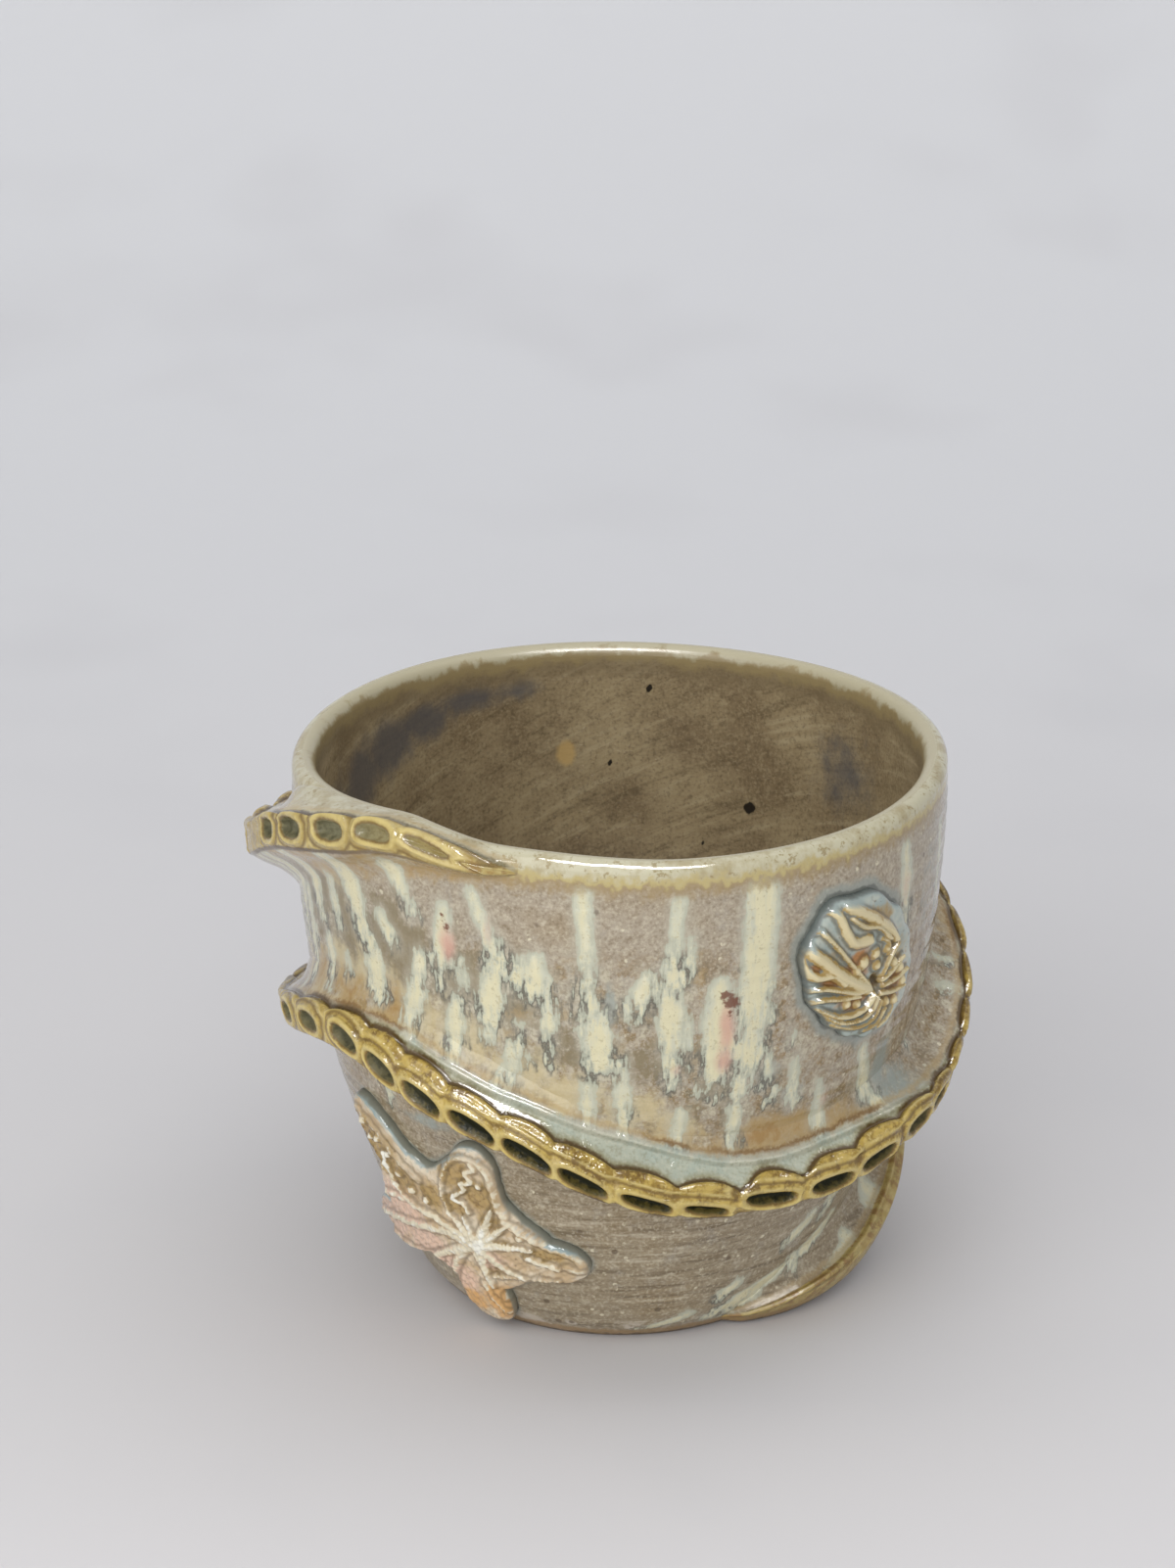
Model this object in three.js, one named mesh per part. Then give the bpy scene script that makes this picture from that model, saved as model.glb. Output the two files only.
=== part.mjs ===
// A handmade stoneware cup without a handle. The thrown body narrows to a small foot. Lengths of clay
// coil climb round it from the foot to the rim as one faceted spiral ridge, and a starfish and a
// fluted shell medallion are stuck on with slip.
// Millimetres, +Z up. The origin is the middle of the foot, on the ground. The front faces -Y.
import * as THREE from 'three';

// The thrown body
const cupHeight = 78.5;
const rimRadius = 45.2;
const footRadius = 25.4;
const wallThickness = 3.3;
const floorThickness = 4.5;
const bodySides = 60;

// The rim is pulled up a little where the ridge runs into it.
const rimPull = 2.9;
const rimPullDepth = 30;

// What is stuck on keeps the thickness of the dried slip to the wall, and this much to the ground.
const slipGap = 0.3;
const groundGap = 0.4;

// The ridge: its greatest reach from the wall, how high its cut face is, and the flats that are cut
// along its edge. A flat has three steps: one on its corner and two on the flat itself.
const ridgeReach = 7.6;
const ridgeFace = 4.4;
const facetLength = 8.2;
const facetDepth = 1;
const stepsPerFacet = 3;
const facetShiftShare = 1 / 3;

// At a corner between two flats the face is lower by this share. Towards a coil's thin end it
// shrinks to the second share, from the third share of the full reach on.
const cornerDipShare = 0.25;
const thinEndShare = 0.12;
const fullFaceShare = 0.6;

// The starfish: thickness, the longest arm, half the width of an arm at its root and at its tip, how
// round the tips are, and where it sits. Spokes crowd towards an arm's middle line.
const starThickness = 2.2;
const armLength = 26.5;
const armRootHalf = 8.4;
const armTipHalf = 2.7;
const tipRoundingShare = 1 / 16;
const spokesPerArm = 14;
const crowding = 1.5;
const starBearing = 234.6;
const starHeight = 0.217 * cupHeight;

// The shell medallion: an oval whose long side leans down to the right, where it sits, and how far
// its hub lies from its middle.
const shellHalfLong = 13;
const shellHalfShort = 9.4;
const shellLean = -48;
const shellThickness = 2.6;
const shellFlutes = 12;
const spokesPerFlute = 5;
const shellBearing = 315.8;
const shellHeight = 0.752 * cupHeight;
const hubAcross = 1.4;
const hubUp = -3;

const degree = Math.PI / 180;

// How far the wall has opened from the foot (0) to the rim (1), by share of the cup's height
const swell = [[0, 0], [0.02, 0.08], [0.055, 0.19], [0.115, 0.31], [0.183, 0.415], [0.282, 0.56],
  [0.387, 0.69], [0.5, 0.81], [0.62, 0.91], [0.75, 0.965], [0.88, 1], [1, 1]];

// The pulled rim: share of the pull by bearing in degrees
const pullByBearing = [[184, 0], [210, 0.5], [231, 1], [246, 0.35], [258, 0.28], [278, 0]];

// The ridge's route, from the rim at the front, clockwise as seen from above, down to the foot:
// bearing in degrees, share of the cup's height, and share of the full reach from the wall
const ridgeRoute = [
  [255, 0.97, 0.07], [249, 0.977, 0.22], [240, 0.985, 0.37], [229, 0.981, 0.47],
  [219, 0.966, 0.55], [209, 0.947, 0.63], [199, 0.918, 0.66], [190, 0.875, 0.79],
  [182, 0.833, 0.89], [165, 0.79, 0.87], [130, 0.755, 0.74], [96, 0.73, 0.74], [60, 0.695, 0.76],
  [32, 0.645, 0.82], [14, 0.58, 0.87], [2, 0.51, 0.97], [-6, 0.46, 1], [-14, 0.425, 0.97],
  [-23, 0.41, 0.95], [-31, 0.397, 0.89], [-41, 0.373, 0.82], [-51, 0.36, 0.75],
  [-63, 0.362, 0.68], [-75, 0.372, 0.68], [-86, 0.395, 0.71], [-96, 0.435, 0.74],
  [-105, 0.485, 0.71], [-114, 0.522, 0.67], [-123, 0.55, 0.66], [-132, 0.58, 0.58],
  [-141, 0.602, 0.55], [-150, 0.602, 0.61], [-160, 0.572, 0.68], [-170, 0.54, 0.74],
  [-182, 0.497, 0.8], [-210, 0.45, 0.76], [-264, 0.4, 0.74], [-310, 0.32, 0.76],
  [-338, 0.25, 0.87], [-352, 0.19, 0.95], [-362, 0.135, 0.97], [-370, 0.1, 0.93],
  [-382, 0.066, 0.84], [-394, 0.046, 0.68], [-404, 0.034, 0.47], [-414, 0.026, 0.24],
  [-420, 0.024, 0.07]];

// How far the ridge's clay is smoothed up the wall above its middle, and down it below its face:
// bearing in degrees, and two lengths as shares of the face's height
const smoothing = [[255, 1.36, 1.14], [190, 1.36, 1.25], [140, 1.7, 1.14], [60, 1.95, 0.68],
  [20, 1.5, 0.68], [-10, 1.5, 0.68], [-40, 1.95, 0.68], [-130, 1.95, 0.68], [-180, 1.7, 0.68],
  [-264, 1.82, 0.59], [-420, 1.82, 0.55]];

// The three lengths of coil butt together at the back of the cup.
const fullTurnDegrees = 360;
const jointBearing = 96;
const rimEndBearing = ridgeRoute[0][0];
const footEndBearing = ridgeRoute[ridgeRoute.length - 1][0];

// The starfish's arms: direction in degrees from the right of its middle, and share of the longest
const arms = [[80, 0.7], [140, 1], [192, 0.9], [275, 0.62], [355, 0.7]];

const clay = {
  body: new THREE.MeshStandardMaterial({ color: 0xaaa096, roughness: 0.3, metalness: 0 }),
  ridge: new THREE.MeshStandardMaterial({ color: 0xb2974f, roughness: 0.28, metalness: 0 }),
  star: new THREE.MeshStandardMaterial({ color: 0xc2a088, roughness: 0.35, metalness: 0 }),
  shell: new THREE.MeshStandardMaterial({ color: 0x9faaa2, roughness: 0.32, metalness: 0 }),
};

// Reads a list of [place, value, ...] rows at a place, on the straight line from row to row.
function readRows(rows, place, column) {
  const rising = rows[rows.length - 1][0] > rows[0][0];
  const ahead = (row) => (rising ? row[0] > place : row[0] < place);
  const next = rows.findIndex(ahead);
  if (next === 0) return rows[0][column];
  if (next < 0) return rows[rows.length - 1][column];
  const share = (place - rows[next - 1][0]) / (rows[next][0] - rows[next - 1][0]);
  return THREE.MathUtils.lerp(rows[next - 1][column], rows[next][column], share);
}

// The wall's outer line as [height, radius, length along the line from the foot]
function makeWallLine() {
  const knots = swell.map(([up, out]) => new THREE.Vector2(
    THREE.MathUtils.lerp(footRadius, rimRadius, out), cupHeight * up));
  const points = new THREE.SplineCurve(knots).getPoints(120);
  let length = 0;
  return points.map((point, index) => {
    if (index > 0) length += point.distanceTo(points[index - 1]);
    return [point.y, Math.min(point.x, rimRadius), length];
  });
}
const wallLine = makeWallLine();
const wallByLength = wallLine.map(([height, , length]) => [length, height]);

const outerRadius = (height) => readRows(wallLine, height, 1);
const lengthAt = (height) => readRows(wallLine, height, 2);
const heightAt = (length) => readRows(wallByLength, length, 1);

// How much the wall opens for each millimetre of height
function wallSlope(height) {
  const reach = cupHeight / 40;
  const low = Math.max(height - reach, 0);
  const high = Math.min(height + reach, cupHeight);
  return (outerRadius(high) - outerRadius(low)) / (high - low);
}

// Raises a point near the rim with the pulled rim, so that everything there moves alike.
function pullRim(point) {
  const bearing = (Math.atan2(point.y, point.x) / degree + fullTurnDegrees) % fullTurnDegrees;
  const nearRim = THREE.MathUtils.smoothstep(point.z, cupHeight - rimPullDepth, cupHeight);
  point.z += rimPull * readRows(pullByBearing, bearing, 1) * nearRim;
  return point;
}

// The point that stands off the wall's outer skin, straight out or square to the slope
function offWall(bearing, height, off, square) {
  const slope = square ? wallSlope(height) : 0;
  const lean = Math.hypot(1, slope);
  const radius = outerRadius(height) + off / lean;
  const level = Math.max(height - off * slope / lean, groundGap);
  return pullRim(new THREE.Vector3(
    radius * Math.cos(bearing * degree), radius * Math.sin(bearing * degree), level));
}

// Moves every vertex of a geometry to where place() puts it.
function reshape(geometry, place) {
  const position = geometry.getAttribute('position');
  const vertex = new THREE.Vector3();
  for (let index = 0; index < position.count; index += 1) {
    const moved = place(vertex.fromBufferAttribute(position, index));
    position.setXYZ(index, moved.x, moved.y, moved.z);
  }
  geometry.computeVertexNormals();
  return geometry;
}

function addPiece(cup, name, geometry, material) {
  const mesh = new THREE.Mesh(geometry, material);
  mesh.name = name;
  cup.add(mesh);
}

// The body is one thrown shape: foot, outer wall, round lip, inner wall and floor.
function makeBody() {
  const lip = wallThickness / 2;
  const outerHeights = [0, 0.02, 0.055, 0.1, 0.16, 0.23, 0.31, 0.4, 0.5, 0.62, 0.75, 0.88];
  const innerHeights = [0.86, 0.7, 0.55, 0.42, 0.31, 0.22, 0.15, 0.1];
  const outline = [new THREE.Vector2(0, 0)];
  for (const share of outerHeights) {
    outline.push(new THREE.Vector2(outerRadius(share * cupHeight), share * cupHeight));
  }
  for (let step = 0; step <= 4; step += 1) {
    const turn = step * Math.PI / 4;
    outline.push(new THREE.Vector2(
      rimRadius - lip + lip * Math.cos(turn), cupHeight - lip + lip * Math.sin(turn)));
  }
  const innerRadius = (height) => outerRadius(height) - wallThickness * Math.hypot(1, wallSlope(height));
  for (const share of innerHeights) {
    const height = THREE.MathUtils.lerp(floorThickness, cupHeight, share);
    outline.push(new THREE.Vector2(innerRadius(height), height));
  }
  const cornerHeight = THREE.MathUtils.lerp(floorThickness, cupHeight, 0.03);
  outline.push(new THREE.Vector2(innerRadius(cornerHeight), cornerHeight));
  outline.push(new THREE.Vector2(innerRadius(cornerHeight) * 0.86, floorThickness));
  outline.push(new THREE.Vector2(0, floorThickness));
  const geometry = new THREE.LatheGeometry(outline, bodySides).rotateX(Math.PI / 2);
  return reshape(geometry, pullRim);
}

// The section of a full coil. Out is a share of the reach. Up runs over the face from -1 to 1, and
// from 1 to 2 over the clay that is smoothed up the wall, and from -1 to -2 over what is below.
function ridgeSection() {
  return new THREE.Shape([
    [0, -2], [0, -1.1], [0, 0], [0, 1.16], [0, 1.52], [0, 2], [0.07, 1.96], [0.22, 1.58],
    [0.5, 1.22], [0.85, 1.06], [1, 0.9], [0.99, 0], [1, -0.9], [0.78, -1.32], [0.3, -1.5],
    [0.08, -1.91],
  ].reverse().map(([out, up]) => new THREE.Vector2(out, up)));
}

// One length of coil, laid along the route between two bearings
function makeRidge(fromBearing, toBearing) {
  const middle = (fromBearing + toBearing) / 2;
  const radius = outerRadius(readRows(ridgeRoute, middle, 1) * cupHeight)
    + readRows(ridgeRoute, middle, 2) * ridgeReach;
  const facets = Math.round((fromBearing - toBearing) * degree * radius / facetLength);
  const geometry = new THREE.ExtrudeGeometry(ridgeSection(), {
    depth: 1, steps: facets * stepsPerFacet, bevelEnabled: false,
  });
  return reshape(geometry, ({ x, y, z }) => {
    const bearing = THREE.MathUtils.lerp(fromBearing, toBearing, z);
    const centre = readRows(ridgeRoute, bearing, 1) * cupHeight;
    const reachShare = readRows(ridgeRoute, bearing, 2);
    const grown = Math.min(1, thinEndShare + reachShare / fullFaceShare);
    const corner = Math.cos(2 * Math.PI * (z * facets + facetShiftShare));
    const atFace = THREE.MathUtils.smoothstep(x, 0.6, 1);
    const halfFace = ridgeFace / 2 * grown * (1 - cornerDipShare * corner * atFace);
    const beyond = Math.max(Math.abs(y) - 1, 0);
    const smoothed = y > 0 ? readRows(smoothing, bearing, 1) - 0.5 : readRows(smoothing, bearing, 2);
    const past = beyond * smoothed * ridgeFace * grown ** 2;
    const up = Math.sign(y) * (Math.min(Math.abs(y), 1) * halfFace + past);
    const flat = (1 - corner) / (1 - Math.cos(2 * Math.PI / stepsPerFacet));
    const dent = facetDepth * grown * flat * atFace * (1 - 0.6 * Math.min(Math.abs(y), 1));
    const height = THREE.MathUtils.clamp(centre + up, groundGap, cupHeight);
    return offWall(bearing, height, slipGap + x * reachShare * ridgeReach - dent, false);
  });
}

// A pressed sprig: a disc whose outline and relief follow its own functions, bent onto the wall.
// edgeAt(direction) is the outline's distance from the sprig's pole, and reliefAt gives the
// thickness at a share of that distance.
function makeSprig(spokes, bearing, height, pole, directionAt, edgeAt, reliefAt) {
  const front = [0, 0.18, 0.4, 0.62, 0.82, 0.94, 1].map((share) => new THREE.Vector2(share, 1));
  const back = [1, 0.84, 0.66, 0.46, 0.24, 0].map((share) => new THREE.Vector2(share, 0));
  const geometry = new THREE.LatheGeometry([...front, ...back], spokes);
  const middleLength = lengthAt(height);
  return reshape(geometry, ({ x, y, z }) => {
    const share = Math.min(Math.hypot(x, z), 1);
    const direction = directionAt((Math.atan2(z, x) / (2 * Math.PI) + 1) % 1);
    const distance = share * edgeAt(direction);
    const across = pole.x + distance * Math.cos(direction);
    const up = heightAt(middleLength + pole.y + distance * Math.sin(direction));
    const turn = across / outerRadius(up) / degree;
    return offWall(bearing + turn, up, slipGap + y * reliefAt(share, direction), true);
  });
}

// An arm's edge, seen from the middle: a tapered wedge with a round tip
function armEdge(direction, [armDirection, share]) {
  const length = share * armLength;
  const aside = Math.abs(Math.atan2(Math.sin(direction - armDirection * degree),
    Math.cos(direction - armDirection * degree)));
  const taper = (armRootHalf - armTipHalf) / length;
  const wedge = armRootHalf / (Math.sin(Math.min(aside, Math.PI / 2)) + taper * Math.cos(aside));
  const tip = length * (1 - tipRoundingShare * (aside * length / armTipHalf) ** 2);
  return aside > Math.PI / 2 ? 0 : Math.min(wedge, Math.max(tip, armRootHalf));
}

// The direction of a spoke, from its share of the full turn
function starDirection(turn) {
  const arm = Math.floor(turn * arms.length) % arms.length;
  const within = turn * arms.length - arm - 0.5;
  const here = arms[arm][0];
  const before = arms[(arm + arms.length - 1) % arms.length][0];
  const after = arms[(arm + 1) % arms.length][0];
  const towards = within < 0 ? -((here - before + fullTurnDegrees) % fullTurnDegrees)
    : (after - here + fullTurnDegrees) % fullTurnDegrees;
  return (here + towards / 2 * (2 * Math.abs(within)) ** crowding) * degree;
}

function makeStarfish() {
  const edgeAt = (direction) => Math.max(...arms.map((arm) => armEdge(direction, arm)));
  const reliefAt = (share) => starThickness * (share < 1 ? 1.05 - 0.5 * share ** 4 : 0.4);
  return makeSprig(spokesPerArm * arms.length, starBearing, starHeight, new THREE.Vector2(),
    starDirection, edgeAt, reliefAt);
}

function makeShell() {
  const hub = new THREE.Vector2(hubAcross, hubUp);
  const toOval = (vector) => vector.clone().rotateAround(new THREE.Vector2(), -shellLean * degree)
    .divide(new THREE.Vector2(shellHalfLong, shellHalfShort));
  const edgeAt = (direction) => {
    const start = toOval(hub);
    const ray = toOval(new THREE.Vector2(Math.cos(direction), Math.sin(direction)));
    const along = start.dot(ray);
    const root = Math.sqrt(along ** 2 + ray.lengthSq() * (1 - start.lengthSq()));
    const plain = (root - along) / ray.lengthSq();
    return plain * (1 + 0.025 * Math.cos(shellFlutes * direction));
  };
  const reliefAt = (share, direction) => {
    const flute = 0.22 * Math.cos(shellFlutes * direction) * Math.min(share * 2, 1);
    return shellThickness * (share < 1 ? 1.05 - 0.4 * share ** 3 + flute : 0.3);
  };
  return makeSprig(spokesPerFlute * shellFlutes, shellBearing, shellHeight, hub,
    (turn) => turn * 2 * Math.PI, edgeAt, reliefAt);
}

const cup = new THREE.Group();
const halfJoint = slipGap / 2 / rimRadius / degree;
const backAgain = jointBearing - fullTurnDegrees;
addPiece(cup, 'cup_body', makeBody(), clay.body);
addPiece(cup, 'rim_ridge', makeRidge(rimEndBearing, jointBearing + halfJoint), clay.ridge);
addPiece(cup, 'waist_ridge', makeRidge(jointBearing - halfJoint, backAgain + halfJoint), clay.ridge);
addPiece(cup, 'foot_ridge', makeRidge(backAgain - halfJoint, footEndBearing), clay.ridge);
addPiece(cup, 'starfish', makeStarfish(), clay.star);
addPiece(cup, 'shell_medallion', makeShell(), clay.shell);

export default cup;
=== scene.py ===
# %% [markdown]
# # A stoneware cup with a ridge that climbs round it
# The real cup was thrown on a wheel, as one lump of clay. Lengths of coil were then luted on, cut flat
# along their edge, and smoothed up into the wall, and two pressed reliefs were stuck on with slip.
# This lesson makes each of those pieces as its own mesh round the imported CAD frame, then paints the
# glaze with shader nodes. The frame comes first.

# %% Load the frame
import math
import random

import bmesh
import bpy
import numpy as np
from mathutils import Matrix, Vector


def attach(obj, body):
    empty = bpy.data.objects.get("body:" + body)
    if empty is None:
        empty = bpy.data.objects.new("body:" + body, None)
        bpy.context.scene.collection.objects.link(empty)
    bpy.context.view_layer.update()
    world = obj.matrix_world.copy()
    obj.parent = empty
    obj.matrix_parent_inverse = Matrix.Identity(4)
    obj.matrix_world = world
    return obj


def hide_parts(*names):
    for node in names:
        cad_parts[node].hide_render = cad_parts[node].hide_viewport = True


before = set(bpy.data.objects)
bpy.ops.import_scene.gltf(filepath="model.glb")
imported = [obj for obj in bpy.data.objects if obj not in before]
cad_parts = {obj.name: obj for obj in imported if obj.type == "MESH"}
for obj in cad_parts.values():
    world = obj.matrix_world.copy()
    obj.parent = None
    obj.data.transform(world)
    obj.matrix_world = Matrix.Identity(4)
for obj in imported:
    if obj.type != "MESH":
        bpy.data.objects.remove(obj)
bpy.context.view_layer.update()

# %% [markdown]
# ## The maker's sizes
# The frame's source and this file share these sizes. They are written in millimetres, as a potter
# would measure them, and turned into Blender's metres when a mesh is finished.

# %% Sizes
MM = 0.001
DEGREE = math.pi / 180
CUP_HEIGHT, RIM_RADIUS, FOOT_RADIUS = 78.5, 45.2, 25.4
WALL_THICKNESS = 3.3
RIM_PULL, RIM_PULL_DEPTH = 2.9, 30
RIDGE_REACH, RIDGE_FACE = 7.6, 4.4
# The face starts at the first share of its height, and grows by the reach divided by the second
THIN_END, FULL_FACE = 0.12, 0.6
LIP = WALL_THICKNESS / 2
# How far the cup is from round: share of its radius, the bearing where it is widest, and the rim's waver
OVAL_SHARE, OVAL_TOWARDS, RIM_WAVER = 0.003, 35, 0.25
# Points that lie closer together than this are welded when a mesh is finished
WELD = 0.002
# What a depth says at a point that lies far outside what it measures
OUTSIDE = -6.0
WALL_STEPS = 1200

# How far the wall has opened from the foot (0) to the rim (1), by share of the cup's height
SWELL = [[0, 0], [0.02, 0.08], [0.055, 0.19], [0.115, 0.31], [0.183, 0.415], [0.282, 0.56],
         [0.387, 0.69], [0.5, 0.81], [0.62, 0.91], [0.75, 0.965], [0.88, 1], [1, 1]]

# The pulled rim: share of the pull by bearing in degrees, counted from +X towards +Y
PULL = [[184, 0], [210, 0.5], [231, 1], [246, 0.35], [258, 0.28], [278, 0]]

# The ridge's route down from the rim, clockwise as seen from above: bearing, share of the cup's
# height, share of the full reach from the wall
ROUTE = [
    [255, 0.97, 0.07], [249, 0.977, 0.22], [240, 0.985, 0.37], [229, 0.981, 0.47], [219, 0.966, 0.55],
    [209, 0.947, 0.63], [199, 0.918, 0.66], [190, 0.875, 0.79], [182, 0.833, 0.89], [165, 0.79, 0.87],
    [130, 0.755, 0.74], [96, 0.73, 0.74], [60, 0.695, 0.76], [32, 0.645, 0.82], [14, 0.58, 0.87],
    [2, 0.51, 0.97], [-6, 0.46, 1], [-14, 0.425, 0.97], [-23, 0.41, 0.95], [-31, 0.397, 0.89],
    [-41, 0.373, 0.82], [-51, 0.36, 0.75], [-63, 0.362, 0.68], [-75, 0.372, 0.68], [-86, 0.395, 0.71],
    [-96, 0.435, 0.74], [-105, 0.485, 0.71], [-114, 0.522, 0.67], [-123, 0.55, 0.66],
    [-132, 0.58, 0.58], [-141, 0.602, 0.55], [-150, 0.602, 0.61], [-160, 0.572, 0.68],
    [-170, 0.54, 0.74], [-182, 0.497, 0.8], [-210, 0.45, 0.76], [-264, 0.4, 0.74],
    [-310, 0.32, 0.76], [-338, 0.25, 0.87], [-352, 0.19, 0.95], [-362, 0.135, 0.97],
    [-370, 0.1, 0.93], [-382, 0.066, 0.84], [-394, 0.046, 0.68], [-404, 0.034, 0.47],
    [-414, 0.026, 0.24], [-420, 0.024, 0.07]]

# How far the ridge's clay is smoothed up the wall and down it, as shares of the face's height
SMOOTHING = [[255, 1.36, 1.14], [190, 1.36, 1.25], [140, 1.7, 1.14], [60, 1.95, 0.68], [20, 1.5, 0.68],
             [-10, 1.5, 0.68], [-40, 1.95, 0.68], [-130, 1.95, 0.68], [-180, 1.7, 0.68],
             [-264, 1.82, 0.59], [-420, 1.82, 0.55]]

# %% [markdown]
# ## Reading a table of sizes
# `read` finds a value between the rows of a table on a straight line, and `read_soft` rounds the
# corners at the rows, as fingers do. `spline` draws a smooth line through a few points.

# %% Helpers for tables and curves
def read(rows, place, column):
    rows = sorted(rows)
    return np.interp(place, [row[0] for row in rows], [row[column] for row in rows])


def read_soft(rows, place, column, width=5):
    """The mean of a few readings round the place"""
    steps = np.linspace(-width, width, 9)
    return np.mean([read(rows, place + step, column) for step in steps], axis=0)


def spline(knots, steps):
    """A smooth line through knots, as (steps + 1) points"""
    knots = np.array(knots, float)
    last = len(knots) - 1
    place = np.linspace(0, last, steps + 1)
    first = np.minimum(place.astype(int), last - 1)
    t = (place - first)[:, None]
    here, after = knots[first], knots[first + 1]
    leaving = (after - knots[np.maximum(first - 1, 0)]) / 2
    arriving = (knots[np.minimum(first + 2, last)] - here) / 2
    return ((2 * here - 2 * after + leaving + arriving) * t ** 3
            + (3 * after - 3 * here - 2 * leaving - arriving) * t ** 2 + leaving * t + here)


def smoothstep(low, high, value):
    t = np.clip((value - low) / (high - low), 0, 1)
    return t * t * (3 - 2 * t)


wall = spline([[FOOT_RADIUS + (RIM_RADIUS - FOOT_RADIUS) * out, CUP_HEIGHT * up] for up, out in SWELL],
              WALL_STEPS)
wall[:, 0] = np.minimum(wall[:, 0], RIM_RADIUS)
wall_length = np.concatenate([[0], np.cumsum(np.hypot(*np.diff(wall, axis=0).T))])


def wall_radius(height):
    return np.interp(height, wall[:, 1], wall[:, 0])


def wall_slope(height):
    reach = CUP_HEIGHT / 40
    low, high = np.maximum(height - reach, 0), np.minimum(height + reach, CUP_HEIGHT)
    return (wall_radius(high) - wall_radius(low)) / (high - low)


def along_wall(height):
    """Millimetres along the wall's line from the foot"""
    return np.interp(height, wall[:, 1], wall_length)


print("wall line from foot to rim, millimetres:", round(float(wall_length[-1]), 1))

# %% [markdown]
# ## One hand over everything
# A thrown pot is never quite round, and this rim was pulled up where the ridge runs into it. Every
# outer piece goes through `settle`, so what touches before it still touches after it.

# %% The hand of the maker
def around(bearing, radius, height):
    """Points from bearing in degrees, radius and height, as rows of x, y, z"""
    return np.stack([radius * np.cos(bearing * DEGREE), radius * np.sin(bearing * DEGREE),
                     height + 0 * radius], axis=-1)


def settle(points):
    x, y, z = points[..., 0], points[..., 1], points[..., 2]
    bearing = np.degrees(np.arctan2(y, x)) % 360
    oval = 1 + OVAL_SHARE * np.cos(2 * (bearing - OVAL_TOWARDS) * DEGREE) * z / CUP_HEIGHT
    lift = RIM_PULL * read_soft(PULL, bearing, 1, 3) * smoothstep(CUP_HEIGHT - RIM_PULL_DEPTH, CUP_HEIGHT, z)
    waver = RIM_WAVER * np.sin(3 * bearing * DEGREE + 1) * smoothstep(40, CUP_HEIGHT, z)
    return np.stack([x * oval, y * oval, z + lift + waver], axis=-1)


# %% [markdown]
# ## Sheets that are wrapped
# Every piece of this cup starts as a flat sheet of squares from `create_grid`. Each point's row and
# column say where it goes: round the cup and along its section for the body and the coils, and from
# the middle out for the reliefs. Edges that meet are welded when the piece is finished.

# %% Make a sheet, and read or move its points
def get_points(mesh):
    flat = np.empty(len(mesh.vertices) * 3)
    mesh.vertices.foreach_get("co", flat)
    return flat.reshape(-1, 3)


def set_points(mesh, points):
    mesh.vertices.foreach_set("co", np.ascontiguousarray(points, dtype=np.float32).ravel())
    mesh.update()


def get_normals(mesh):
    flat = np.empty(len(mesh.vertices) * 3)
    mesh.vertex_normals.foreach_get("vector", flat)
    return flat.reshape(-1, 3)


def make_sheet(name, rows, columns):
    bm = bmesh.new()
    bmesh.ops.create_grid(bm, x_segments=rows, y_segments=columns, size=0.5)
    mesh = bpy.data.meshes.new(name)
    bm.to_mesh(mesh)
    bm.free()
    flat = get_points(mesh)
    share = (flat - flat.min(0)) / np.maximum(np.ptp(flat, axis=0), 1e-9)
    return mesh, np.rint(share[:, 0] * rows).astype(int), np.rint(share[:, 1] * columns).astype(int)


# %% [markdown]
# ## Where the glaze went
# Glazes were poured and dripped over each other. Where the pale one ran it left long fingers with
# feathered ends. Each run is a row: bearing and height of its top, height of its end, half widths at
# top, middle and end in millimetres, and how many degrees it drifts sideways on the way down.
# `run_field` turns the rows into one signed distance, which the shader later feathers with noise.

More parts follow.
